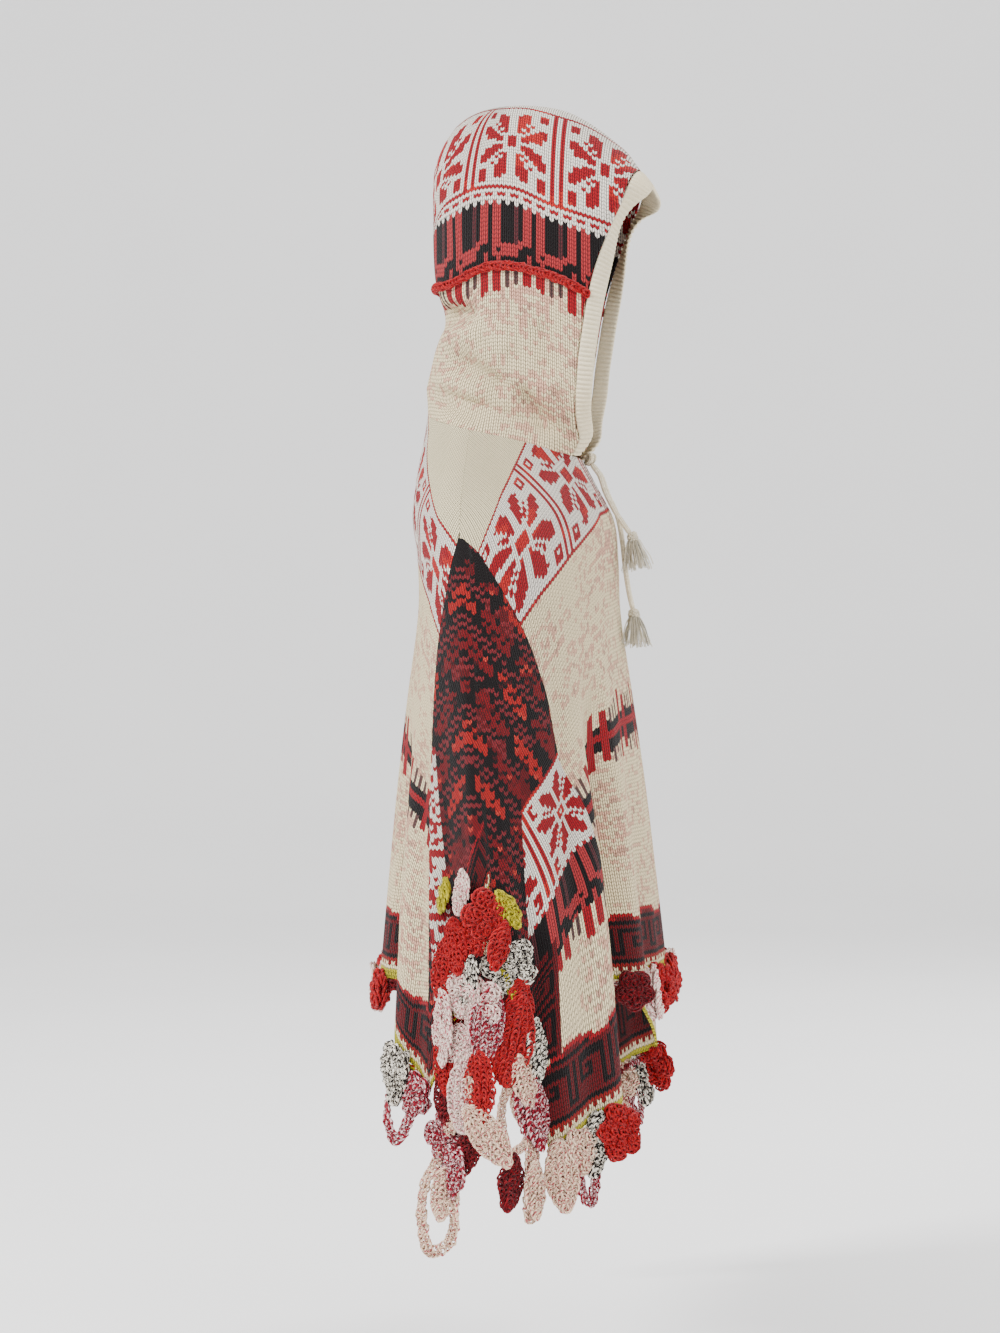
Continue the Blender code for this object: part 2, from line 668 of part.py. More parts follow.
def tassel(name, cord, collection, look):
    """A knot with a flared skirt of yarn ends, all fused at the knot, just past the cord's end."""
    heading = (cord[-1] - cord[-2]) / np.linalg.norm(cord[-1] - cord[-2])
    centre = cord[-1] + heading * (TASSEL_HEAD + SEAM)
    pieces = [ball(name + "_head", centre, (TASSEL_HEAD,) * 3, collection, look)]
    for i in range(TASSEL_STRANDS):
        turn = i * math.pi * (3 - math.sqrt(5))
        spread = TASSEL_FLARE * math.sqrt((i + 0.5) / TASSEL_STRANDS)
        out = Vector((math.cos(turn) * spread, math.sin(turn) * spread, -1.0)).normalized()
        start = Vector(centre) + out * TASSEL_HEAD * TASSEL_ROOT
        length = TASSEL_LENGTH * (1 - TASSEL_UNEVEN + TASSEL_UNEVEN * math.cos(3 * i))
        across = out.cross(Vector((1, 0, 0.2))).normalized()
        over = out.cross(across)
        points = []
        for at, half in ((0.0, STRAND_HALF), (length, STRAND_HALF * STRAND_TIP)):
            for a, b in ((1, 1), (-1, 1), (-1, -1), (1, -1)):
                points.append(start + out * at + across * a * half + over * b * half)
        faces = [(0, 1, 2, 3), (7, 6, 5, 4)] + [(k, k + 4, (k + 1) % 4 + 4, (k + 1) % 4) for k in range(4)]
        pieces.append(mesh_object(f"{name}_{i}", points, faces, collection, look))
    return united(name, pieces, collection, look)


def motif_outline(kind, size):
    """An outline in the motif's own plane, and the radius of its hole."""
    if kind == "leaf":
        outline = []
        for i in range(LEAF_POINTS):
            turn = 2 * math.pi * i / LEAF_POINTS
            taper = 1 - LEAF_TAPER + LEAF_TAPER * math.cos(turn)
            outline.append((size * math.cos(turn), size * LEAF_WIDTH * math.sin(turn) * taper))
        return outline, 0.0
    outline = []
    count = PETALS * len(PETAL_REACH)
    for i in range(count):
        reach = size * PETAL_REACH[i % len(PETAL_REACH)]
        turn = 2 * math.pi * i / count
        outline.append((reach * math.cos(turn), reach * math.sin(turn)))
    return outline, size * RING_HOLE if kind == "ring" else 0.0


def motif(name, kind, station, height, size, spin, layer, side, collection, look):
    """A crocheted flower, ring or leaf. Without a height its top hangs just below the hem's edge."""
    outline, hole = motif_outline(kind, size)
    level = hem_height(station) - size if height is None else height
    normal = cloth_normal(station, level, side)
    up = np.array((0, 0, 1.0)) - normal * normal[2]
    up /= np.linalg.norm(up)
    right = np.cross(up, normal)
    turn = math.radians(spin)
    across = right * math.cos(turn) + up * math.sin(turn)
    along = np.cross(normal, across)
    round_it = cloth(station + STEP, level, side) - cloth(station - STEP, level, side)
    per_metre = 2 * STEP / np.linalg.norm(round_it) * math.copysign(1, right @ round_it)
    flat = [across * a + along * b for a, b in outline]
    beside = [station + (p @ right) * per_metre for p in flat]
    if height is None:
        level = min(hem_height(s) - p[2] for s, p in zip(beside, flat)) + HEM_OVERLAP
    middle = cloth(station, level, side)
    lift = MOTIF_LIFT
    for share in CLEARANCE_SHARES:
        for p in flat:
            spot = p * share
            s = station + (spot @ right) * per_metre
            if level + spot[2] > hem_height(s) - HEM_CLEARANCE:
                under = (cloth(s, level + spot[2], side) - middle - spot) @ normal
                lift = max(lift, under + WALL / 2 + MOTIF_THICK / 2 + MOTIF_CLEARANCE)
    centre = middle + normal * (lift + layer * LAYER_STEP)
    count = len(outline)
    points = []
    for face, dome in ((-MOTIF_THICK / 2, 0.0), (MOTIF_THICK / 2, MOTIF_DOME)):
        points += [centre + p + normal * face for p in flat]
        if hole:
            points += [centre + p * hole / np.linalg.norm(p) + normal * face for p in flat]
        else:
            points.append(centre + normal * (face + dome))
    faces = []
    ring = 2 * count if hole else count + 1
    for i in range(count):
        j = (i + 1) % count
        faces.append((i, j, j + ring, i + ring))
        if hole:
            faces.append((i, i + count, j + count, j))
            faces.append((i + ring, j + ring, j + count + ring, i + count + ring))
            faces.append((i + count, i + count + ring, j + count + ring, j + count))
        else:
            faces.append((j, i, count))
            faces.append((i + ring, j + ring, count + ring))
    return mesh_object(name, points, faces, collection, look)


def hem_spine(name, first, last, lift, side, collection, look):
    """The crocheted edging that is sewn to the hem between two stations, just below the cloth's edge."""
    stations = np.linspace(first, last, SPINE_SAMPLES)
    edge = [cloth(s, hem_height(s), side) for s in stations]
    below = []
    for i, (station, point) in enumerate(zip(stations, edge)):
        tangent = edge[min(i + 1, len(edge) - 1)] - edge[max(i - 1, 0)]
        normal = cloth_normal(station, hem_height(station), side)
        away = np.cross(tangent, normal)
        away /= np.linalg.norm(away)
        inside = cloth(station, hem_height(station) + 0.01, side) - point
        if away @ inside > 0:
            away = -away
        below.append(point + away * (SPINE_RADIUS + HEM_CLEARANCE) + normal * lift)
    points, _ = resampled(np.array(below), np.array(below), SPINE_STEP)
    return tube(name, points, SPINE_RADIUS, 0, collection, look)


def stitches(name, run, side, collection, look):
    """Short tabs that reach from the edging to the hem's edge, where the garland is sewn on."""
    made = []
    lift = SLIT_SPINE_LIFT if run == "slit" else SPINE_LIFT
    for i, station in enumerate(STITCHES[run]):
        height = hem_height(station)
        edge = cloth(station, height, side)
        normal = cloth_normal(station, height, side)
        tangent = cloth(station + STEP, hem_height(station + STEP), side)
        tangent -= cloth(station - STEP, hem_height(station - STEP), side)
        away = np.cross(tangent, normal)
        away /= np.linalg.norm(away)
        if away[2] > 0:
            away = -away
        reach = SPINE_RADIUS + HEM_CLEARANCE
        bend = edge + away * reach * STITCH_REACH
        route = [edge + away * SEAM * 4 / 3, bend, edge + away * reach + normal * lift]
        made.append(tube(f"{name}_stitch_{i}", route, STITCH_RADIUS, 0, collection, look))
    return made


def loops(name, run, side, collection, look):
    """The run's hanging chains."""
    made = []
    for i, (loop_run, turns) in enumerate(LOOPS):
        if loop_run == run:
            route = []
            for station, height in turns:
                route.append(cloth(station, height, side) + cloth_normal(station, height, side) * MOTIF_LIFT)
            points = smooth_route(route, 2 * len(route) - 1)
            made.append(tube(f"{name}_loop_{i}", points, LOOP_RADIUS, 1, collection, look))
    return made


def garland_run(name, run, side, collection, look):
    """The garland along the corners and the slit on one side."""
    pieces = []
    for i, (spine_run, first, last) in enumerate(SPINES):
        if spine_run == run:
            lift = SLIT_SPINE_LIFT if run == "slit" else SPINE_LIFT
            pieces.append(hem_spine(f"{name}_spine_{i}", first, last, lift, side, collection, look))
    if run == "slit":
        rows = SLIT_MOTIFS
    else:
        rows = [(kind, station, None, *rest) for kind, station, *rest in HEM_MOTIFS[run]]
    for i, row in enumerate(rows):
        pieces.append(motif(f"{name}_{i}", *row, side, collection, look))
    pieces += loops(name, run, side, collection, look)
    pieces += stitches(name, run, side, collection, look)
    return united(name, pieces, collection, look)


def garland_level(name, run, centre, last, collection, look):
    """The garland of the level front or back hem, from the right side over the centre to the left."""
    half = np.linspace(centre, last, SPINE_SAMPLES // 2)
    places = [(station, RIGHT) for station in half[::-1]] + [(station, LEFT) for station in half[1:]]
    points = []
    for station, side in places:
        height = hem_height(station) - SPINE_RADIUS - HEM_CLEARANCE
        points.append(cloth(station, height, side) + cloth_normal(station, height, side) * SPINE_LIFT)
    points, _ = resampled(np.array(points), np.array(points), SPINE_STEP)
    pieces = [tube(name + "_spine", points, SPINE_RADIUS, 0, collection, look)]
    for side in (RIGHT, LEFT):
        pieces += stitches(f"{name}_{side}", run, side, collection, look)
        for i, (kind, station, size, spin, layer) in enumerate(HEM_MOTIFS[run]):
            if station == centre and side == LEFT:
                continue
            label = f"{name}_{side}_{i}"
            pieces.append(motif(label, kind, station, None, size, spin, layer, side, collection, look))
    return united(name, pieces, collection, look)


def main():
    collection = new_collection()
    cream = material("cream_knit", (0.76, 0.67, 0.52))
    dark = material("dark_knit", (0.10, 0.02, 0.03))
    red = material("red_yarn", (0.45, 0.03, 0.04))
    body_panel("front_panel", FRONT_SEAM, 0.0, collection, cream)
    body_panel("back_panel", BACK_SEAM, 1.0, collection, cream)
    for side, label in ((RIGHT, "right"), (LEFT, "left")):
        side_panel(f"side_panel_{label}", side, collection, dark)
        hood_half(f"hood_{label}", side, collection, cream)
        for run in ("front_flap", "slit", "back_flap"):
            garland_run(f"garland_{run}_{label}", run, side, collection, red)
    for run, centre, last in LEVEL_SPINES:
        garland_level(f"garland_{run}", run, centre, last, collection, red)
    hood_band(collection, cream)
    hood_chain(collection, red)
    ball("drawstring_knot", knot_centre(), KNOT_RADII, collection, cream)
    for name, (direction, route) in CORD_ROUTES.items():
        points = cord_route(direction, route)
        tube(name, points, CORD_RADIUS, 2, collection, cream)
        tassel(name.replace("drawstring", "tassel"), points, collection, cream)


main()
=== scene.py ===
"""Looks of the hooded knit poncho: jacquard cloth, ribbed band, drawstring, tassels and crocheted garland.

The cloth follows the same surface as the solids. Each cloth piece has a UV map in metres, whose V counts knit
courses from the hem or the chain and whose U counts wales, so that a pattern follows the knitting.
"""
import math
import random
from functools import partialmethod

import bmesh
import bpy
import numpy as np
from mathutils import Matrix, Vector


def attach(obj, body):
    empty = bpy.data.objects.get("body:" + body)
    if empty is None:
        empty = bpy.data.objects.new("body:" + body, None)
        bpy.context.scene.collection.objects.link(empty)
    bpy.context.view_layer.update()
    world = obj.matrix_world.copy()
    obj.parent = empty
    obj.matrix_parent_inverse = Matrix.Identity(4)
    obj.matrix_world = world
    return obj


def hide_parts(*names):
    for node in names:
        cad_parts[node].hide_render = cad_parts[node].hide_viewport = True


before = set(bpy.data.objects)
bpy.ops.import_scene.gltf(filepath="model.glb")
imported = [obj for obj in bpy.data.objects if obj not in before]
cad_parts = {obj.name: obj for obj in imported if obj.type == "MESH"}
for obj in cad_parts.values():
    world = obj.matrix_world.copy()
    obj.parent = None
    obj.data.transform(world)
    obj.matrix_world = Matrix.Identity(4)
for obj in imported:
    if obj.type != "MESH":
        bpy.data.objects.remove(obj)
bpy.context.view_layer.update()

RIGHT, LEFT = -1, 1
SIDES = ((RIGHT, "right"), (LEFT, "left"))
WALL = 0.0024
SEAM = 0.0003
STEP = 0.0005
RIDGE = 0.5
APEX_Z = -0.107

# Camera of the photograph, level and turned a little to the front, in metres and degrees.
CAMERA_TURN = 8.0
CAMERA_DISTANCE = 3.0
CAMERA_SIDE = -0.021
CAMERA_HEIGHT = -0.232
CAMERA_LENS = 77.2

# Body sections: height, foremost and rearmost x, half width, x of the widest point.
SECTIONS = (
    (0.040, 0.048, -0.094, 0.074, -0.040),
    (0.010, 0.056, -0.098, 0.092, -0.039),
    (-0.018, 0.066, -0.102, 0.122, -0.038),
    (-0.045, 0.080, -0.105, 0.155, -0.036),
    (-0.080, 0.097, -0.106, 0.190, -0.034),
    (-0.120, 0.101, -0.099, 0.212, -0.031),
    (-0.175, 0.103, -0.097, 0.226, -0.027),
    (-0.265, 0.116, -0.108, 0.242, -0.020),
    (-0.390, 0.134, -0.122, 0.258, -0.010),
    (-0.540, 0.152, -0.137, 0.276, 0.004),
    (-0.720, 0.170, -0.152, 0.294, 0.012),
)
# Folds and finer creases: station, half width in stations, depth outward, heights of start and full depth.
FOLDS = (
    (0.190, 0.060, -0.046, -0.200, -0.460),
    (0.262, 0.045, 0.012, -0.220, -0.450),
    (0.085, 0.045, -0.010, -0.180, -0.500),
    (0.400, 0.045, -0.009, -0.200, -0.560),
    (0.500, 0.040, 0.007, -0.120, -0.500),
    (0.585, 0.045, -0.010, -0.180, -0.560),
    (0.705, 0.045, 0.009, -0.250, -0.480),
    (0.780, 0.055, -0.030, -0.250, -0.480),
    (0.920, 0.050, -0.009, -0.200, -0.500),
    (0.150, 0.022, 0.0022, -0.100, -0.260),
    (0.300, 0.024, -0.0020, -0.130, -0.330),
    (0.035, 0.026, -0.0024, -0.300, -0.520),
    (0.350, 0.020, 0.0018, -0.280, -0.480),
    (0.660, 0.025, -0.0020, -0.160, -0.420),
    (0.860, 0.024, 0.0022, -0.120, -0.380),
)
LEFT_FOLD_DEPTH = 0.85
# Neckline: station, height.
NECKLINE = ((0.0, -0.018), (0.2, -0.012), (0.5, 0.008), (0.75, 0.022), (1.0, 0.036))
# Hem: station, height.
HEM = (
    (0.000, -0.540), (0.165, -0.545), (0.205, -0.565), (0.250, -0.655), (0.384, -0.692),
    (0.476, -0.441), (0.630, -0.640), (0.710, -0.600), (0.770, -0.548), (1.000, -0.534),
)
FRONT_SEAM = (
    (-0.107, 0.493), (-0.122, 0.455), (-0.193, 0.363), (-0.254, 0.322), (-0.325, 0.300),
    (-0.365, 0.272), (-0.403, 0.256), (-0.450, 0.235), (-0.565, 0.205),
)
BACK_SEAM = (
    (-0.107, 0.507), (-0.150, 0.560), (-0.206, 0.610), (-0.265, 0.627), (-0.393, 0.636), (-0.640, 0.636),
)
# Hood rows from brim over crown to nape: x and z on the middle seam, then x, z and half width at the face.
HOOD_ROWS = (
    (0.127, 0.283, 0.113, 0.243, 0.066),
    (0.105, 0.310, 0.098, 0.208, 0.074),
    (0.051, 0.346, 0.086, 0.176, 0.079),
    (-0.012, 0.354, 0.078, 0.143, 0.080),
    (-0.060, 0.339, 0.073, 0.112, 0.080),
    (-0.087, 0.295, 0.069, 0.085, 0.079),
    (-0.090, 0.238, 0.067, 0.062, 0.076),
    (-0.088, 0.177, 0.065, 0.044, 0.070),
    (-0.078, 0.132, 0.064, 0.028, 0.062),
    (-0.088, 0.097, 0.065, 0.014, 0.054),
    (-0.097, 0.060, 0.067, 0.003, 0.046),
)
HOOD_BULGE = 0.011
HOOD_TURN_POWER = 1.15
HOOD_SIDE_POWER = 0.90
NECK_BULGE = 0.020
NECK_BULGE_START = 0.55
NECK_BULGE_RUN = 0.25
NECK_FRONT_STATION = 1 / 9
# Creases of the hood's loose neck: x, z, run in x, run in z, half width, depth.
HOOD_CREASES = (
    (-0.092, 0.130, 0.064, 0.006, 0.0110, -0.0150),
    (-0.084, 0.108, 0.062, 0.000, 0.0120, 0.0070),
    (-0.072, 0.094, 0.080, -0.050, 0.0120, -0.0120),
    (-0.092, 0.074, 0.074, -0.034, 0.0110, 0.0070),
    (-0.096, 0.052, 0.082, -0.038, 0.0100, -0.0110),
    (0.000, 0.058, 0.048, -0.052, 0.0110, -0.0110),
    (0.030, 0.066, 0.022, -0.058, 0.0100, 0.0060),
    (0.030, 0.128, 0.014, -0.072, 0.0120, -0.0070),
    (-0.022, 0.126, 0.024, -0.042, 0.0110, 0.0055),
    (0.050, 0.062, 0.006, -0.055, 0.0090, -0.0050),
)
# Red chain across the hood: x, z. Lower border of the hood's flowers: x, z.
CHAIN_LINE = ((-0.090, 0.166), (-0.068, 0.162), (-0.020, 0.178), (0.037, 0.168), (0.083, 0.146))
BORDER_LINE = (
    (-0.090, 0.230), (-0.070, 0.236), (-0.036, 0.248), (0.003, 0.246), (0.042, 0.228), (0.098, 0.208),
)
# The crown's line: x, z. The nape's line: z, x.
HOOD_TOP = (
    (-0.087, 0.295), (-0.060, 0.339), (-0.012, 0.354), (0.051, 0.346), (0.105, 0.310), (0.127, 0.283),
)
HOOD_BACK = (
    (0.060, -0.097), (0.097, -0.088), (0.132, -0.078), (0.177, -0.088), (0.238, -0.090), (0.354, -0.086),
)
HOOD_ROUND = 0.075  # radius of the hood's turn to the middle seam
HOOD_BORDER = 0.060  # V of the flowers' lower border on the hood

# Heights of the pattern's courses on the front: station, then hem, key top, bars, flower band's two borders.
FRONT_COURSES = (
    (0.000, -0.540, -0.479, -0.283, -0.070, 0.045),
    (0.100, -0.543, -0.481, -0.291, -0.079, 0.045),
    (0.170, -0.546, -0.484, -0.306, -0.102, 0.035),
    (0.225, -0.605, -0.530, -0.356, -0.123, 0.030),
    (0.280, -0.663, -0.579, -0.380, -0.150, 0.012),
    (0.3125, -0.672, -0.590, -0.402, -0.165, -0.005),
    (0.365, -0.687, -0.606, -0.440, -0.194, -0.036),
    (0.4025, -0.700, -0.620, -0.480, -0.215, -0.062),
    (0.4575, -0.720, -0.640, -0.500, -0.250, -0.1215),
    (0.500, -0.740, -0.660, -0.520, -0.270, -0.160),
)
BACK_COURSES = (
    (0.500, -0.740, -0.660, -0.520, -0.285, -0.117),
    (0.6025, -0.655, -0.553, -0.390, -0.2056, -0.086),
    (0.6775, -0.615, -0.556, -0.363, -0.170, -0.050),
    (0.770, -0.548, -0.500, -0.340, -0.140, -0.010),
    (0.8075, -0.541, -0.480, -0.315, -0.130, 0.010),
    (0.900, -0.537, -0.475, -0.290, -0.115, 0.040),
    (1.000, -0.534, -0.473, -0.283, -0.105, 0.050),
)
COURSE_LEVELS = (0.0, 0.062, 0.255, 0.460, 0.585)
_, KEY_TOP, BARS_MIDDLE, FLOWERS_LOW, FLOWERS_HIGH = COURSE_LEVELS
# Heights on the side panel: station, then hem, key top, end of the bars, borders of window and flower bands.
SIDE_COURSES = (
    (0.205, -0.565, -0.500, -0.455, -0.425, -0.375, -0.270),
    (0.250, -0.655, -0.560, -0.478, -0.448, -0.393, -0.290),
    (0.285, -0.664, -0.580, -0.493, -0.466, -0.406, -0.305),
    (0.325, -0.676, -0.594, -0.512, -0.492, -0.432, -0.329),
    (0.375, -0.690, -0.607, -0.545, -0.530, -0.476, -0.358),
    (0.405, -0.700, -0.620, -0.570, -0.555, -0.499, -0.380),
    (0.500, -0.730, -0.660, -0.620, -0.600, -0.550, -0.440),
    (0.636, -0.640, -0.560, -0.520, -0.500, -0.450, -0.340),
)
SIDE_LEVELS = (0.0, 0.070, 0.120, 0.145, 0.200, 0.300)
_, SIDE_KEY_TOP, _, WINDOW_LOW, SIDE_FLOWERS_LOW, SIDE_FLOWERS_HIGH = SIDE_LEVELS

# Width and height of one knit stitch.
WALE = 0.0046
COURSE = 0.0038


def smooth(table, at, column=1):
    """A table's column along a smooth curve through its rows, straight on past its ends."""
    rows = np.array(sorted(table), float)
    x, y = rows[:, 0], rows[:, column]
    at = np.asarray(at, float)
    slope = np.gradient(y, x)
    slope[1:-1] = (y[2:] - y[:-2]) / (x[2:] - x[:-2])
    i = np.clip(np.searchsorted(x, at) - 1, 0, len(x) - 2)
    run = x[i + 1] - x[i]
    t = (at - x[i]) / run
    inside = (
        (2 * t**3 - 3 * t**2 + 1) * y[i] + (t**3 - 2 * t**2 + t) * run * slope[i]
        + (3 * t**2 - 2 * t**3) * y[i + 1] + (t**3 - t**2) * run * slope[i + 1]
    )
    before = y[i] + slope[i] * (at - x[i])
    after = y[i + 1] + slope[i + 1] * (at - x[i + 1])
    return np.where(t < 0, before, np.where(t > 1, after, inside))


def linear(table, at, column=1):
    """A table's column along straight lines between its rows."""
    rows = np.array(sorted(table), float)
    return np.interp(at, rows[:, 0], rows[:, column])


def ease(t):
    t = np.clip(t, 0.0, 1.0)
    return t * t * (3 - 2 * t)


def unit(vectors):
    return vectors / np.linalg.norm(vectors, axis=-1, keepdims=True)


def cloth(station, height, side):
    """The middle of the body's cloth."""
    station, height = np.broadcast_arrays(np.asarray(station, float), np.asarray(height, float))
    front, back, half_width, widest = (smooth(SECTIONS, height, column) for column in (1, 2, 3, 4))
    turn = station * math.pi
    depth = np.where(station <= RIDGE, front - widest, widest - back)
    normal = unit(np.stack([np.cos(turn) / depth, np.sin(turn) / half_width], axis=-1))
    out = np.zeros_like(turn)
    for place, half, fold_depth, start, full in FOLDS:
        away = np.clip(np.abs(station - place) / half, 0, 1)
        out = out + fold_depth * ease((start - height) / (start - full)) * 0.5 * (1 + np.cos(math.pi * away))
    out = out * np.where(side == LEFT, LEFT_FOLD_DEPTH, 1.0)
    x = widest + depth * np.cos(turn) + out * normal[..., 0]
    y = half_width * np.sin(turn) + out * normal[..., 1]
    return np.stack([x, side * y, height], axis=-1)


def cloth_normal(station, height, side):
    round_it = cloth(station + STEP, height, side) - cloth(station - STEP, height, side)
    up_it = cloth(station, height + STEP, side) - cloth(station, height - STEP, side)
    return unit(np.cross(round_it, up_it) * np.asarray(side)[..., None])


def hem_height(station):
    """The height of the hem at a station."""
    return linear(HEM, station)


ARC_HEIGHTS = np.linspace(-0.76, 0.05, 82)
ARC_STATIONS = np.linspace(0, 1, 121)
ARC_STEPS = np.linalg.norm(np.diff(cloth(ARC_STATIONS[None, :], ARC_HEIGHTS[:, None], RIGHT), axis=1), axis=2)
ARC = np.concatenate([np.zeros((len(ARC_HEIGHTS), 1)), np.cumsum(ARC_STEPS, axis=1)], axis=1)


def arc(station, height):
    """Metres of cloth from centre front to a station."""
    row = np.clip((height - ARC_HEIGHTS[0]) / (ARC_HEIGHTS[1] - ARC_HEIGHTS[0]), 0, len(ARC_HEIGHTS) - 1.001)
    column = np.clip(station * (len(ARC_STATIONS) - 1), 0, len(ARC_STATIONS) - 1.001)
    r, c = row.astype(int), column.astype(int)
    fr, fc = row - r, column - c
    low = ARC[r, c] * (1 - fc) + ARC[r, c + 1] * fc
    high = ARC[r + 1, c] * (1 - fc) + ARC[r + 1, c + 1] * fc
    return low * (1 - fr) + high * fr


def course(table, levels, station, height):
    """The fabric's V at a place, from the heights at which its levels cross that station."""
    marks = [linear(table, station, column + 1) for column in range(len(levels))]
    v = levels[0] + (height - marks[0])
    for low, high, v_low, v_high in zip(marks, marks[1:], levels, levels[1:]):
        share = (height - low) / (high - low)
        v = np.where(height >= low, v_low + share * (v_high - v_low), v)
    return np.where(height >= marks[-1], levels[-1] + (height - marks[-1]), v)


def hood_point(s, t, side):
    """The middle of the hood's wall: s runs 0 to 1 from brim to neck, t from the middle seam to the face."""
    s, t = np.broadcast_arrays(np.asarray(s, float), np.asarray(t, float))
    table = [(i / len(HOOD_ROWS), *row) for i, row in enumerate(HOOD_ROWS)]
    last = table[-1][0]
    mx, mz, ex, ez, half = (smooth(table, np.minimum(s, last), column) for column in range(1, 6))
    swing = t * math.pi / 2
    forward = 1 - np.clip(np.cos(swing), 0, 1) ** HOOD_TURN_POWER
    bulge = HOOD_BULGE + NECK_BULGE * ease((s - NECK_BULGE_START) / NECK_BULGE_RUN)
    out = half * np.sin(swing) ** HOOD_SIDE_POWER + bulge * np.sin(math.pi * t)
    formula = np.stack([mx + (ex - mx) * forward, side * out, mz + (ez - mz) * forward], axis=-1)
    station = 1.0 + (NECK_FRONT_STATION - 1.0) * t
    height = linear(NECKLINE, station)
    edge = cloth(station, height, side)
    neck = edge - unit(cloth(station, height - STEP, side) - edge) * SEAM
    blend = ease((s - last) / (1 - last))[..., None]
    return formula + (neck - formula) * blend


def hood_normal(s, t, side):
    s, t = np.broadcast_arrays(np.asarray(s, float), np.asarray(t, float))
    s0, s1 = np.maximum(s - 0.01, 0.0), np.minimum(s + 0.01, 1.0)
    t0, t1 = np.maximum(t - 0.01, 0.0), np.minimum(t + 0.01, 1.0)
    along = hood_point(s1, t, side) - hood_point(s0, t, side)
    across = hood_point(s, t1, side) - hood_point(s, t0, side)
    normal = np.cross(along, across) * -side
    normal[..., 1] = np.where(t == 0, 0.0, normal[..., 1])
    return unit(normal)


def srgb(*colour):
    """A colour as seen on a screen, 0 to 255, made linear."""
    shares = [c / 255 for c in colour]
    return (*(c / 12.92 if c <= 0.04045 else ((c + 0.055) / 1.055) ** 2.4 for c in shares), 1.0)


CREAM = srgb(242, 224, 180)
PINK_FLECK = srgb(206, 128, 118)
RED = srgb(150, 8, 24)
CORAL = srgb(180, 30, 28)
MAROON = srgb(92, 8, 16)
BLACK = srgb(14, 5, 7)
BRICK = srgb(136, 24, 22)
GREEN = srgb(186, 176, 44)
ROSE_RED = srgb(160, 44, 48)
TICK_BROWN = srgb(92, 62, 60)
WHITE = srgb(232, 224, 212)


class Nodes:
    """Short calls for the maths of a shader tree."""

    def __init__(self, tree):
        self.tree = tree

    def add(self, kind, **settings):
        node = self.tree.nodes.new(kind)
        for name, value in settings.items():
            setattr(node, name, value)
        return node

    def feed(self, socket, value):
        if isinstance(value, bpy.types.NodeSocket):
            self.tree.links.new(value, socket)
        else:
            socket.default_value = value

    def maths(self, operation, *values):
        node = self.add("ShaderNodeMath", operation=operation)
        for socket, value in zip(node.inputs, values):
            self.feed(socket, value)
        return node.outputs[0]

    plus = partialmethod(maths, "ADD")
    minus = partialmethod(maths, "SUBTRACT")
    times = both = partialmethod(maths, "MULTIPLY")
    over = partialmethod(maths, "DIVIDE")
    above = partialmethod(maths, "GREATER_THAN")
    below = partialmethod(maths, "LESS_THAN")
    either = partialmethod(maths, "MAXIMUM")
    size = partialmethod(maths, "ABSOLUTE")
    floor = partialmethod(maths, "FLOOR")
    power = partialmethod(maths, "POWER")
    sine = partialmethod(maths, "SINE")
    repeat = partialmethod(maths, "FLOORED_MODULO")

    def between(self, a, low, high):
        return self.both(self.above(a, low), self.below(a, high))

    def boxes(self, u, v, rows):
        """A mask of boxes, each given by its u and v limits."""
        mask = None
        for u0, u1, v0, v1 in rows:
            box = self.both(self.between(u, u0, u1), self.between(v, v0, v1))
            mask = box if mask is None else self.either(mask, box)
        return mask

    def mix(self, mask, a, b):
        node = self.add("ShaderNodeMix", data_type="RGBA")
        self.feed(node.inputs[0], mask)
        self.feed(node.inputs[6], a)
        self.feed(node.inputs[7], b)
        return node.outputs[2]

    def vector(self, x, y, z=0.0):
        node = self.add("ShaderNodeCombineXYZ")
        for socket, value in zip(node.inputs, (x, y, z)):
            self.feed(socket, value)
        return node.outputs[0]

    def split(self, vector):
        node = self.add("ShaderNodeSeparateXYZ")
        self.feed(node.inputs[0], vector)
        return node.outputs

    def noise(self, vector, scale, detail=2.0):
        node = self.add("ShaderNodeTexNoise")
        self.feed(node.inputs["Vector"], vector)
        node.inputs["Scale"].default_value = scale
        node.inputs["Detail"].default_value = detail
        return node.outputs["Fac"]

    def scatter(self, vector):
        node = self.add("ShaderNodeTexWhiteNoise", noise_dimensions="2D")
        self.feed(node.inputs["Vector"], vector)
        return node.outputs["Value"]

    def use(self, group, **values):
        node = self.add("ShaderNodeGroup", node_tree=group)
        for name, value in values.items():
            self.feed(node.inputs[name.replace("_", " ")], value)
        return node.outputs


def shader_group(name, inputs, outputs):
    """A new shader group with named float sockets, and its maths."""
    group = bpy.data.node_groups.new(name, "ShaderNodeTree")
    for in_out, titles in (("INPUT", inputs), ("OUTPUT", outputs)):
        for title in titles.split():
            group.interface.new_socket(title, in_out=in_out, socket_type="NodeSocketFloat")
    nodes = Nodes(group)
    given = nodes.add("NodeGroupInput").outputs
    result = nodes.add("NodeGroupOutput").inputs
    return group, nodes, given, result


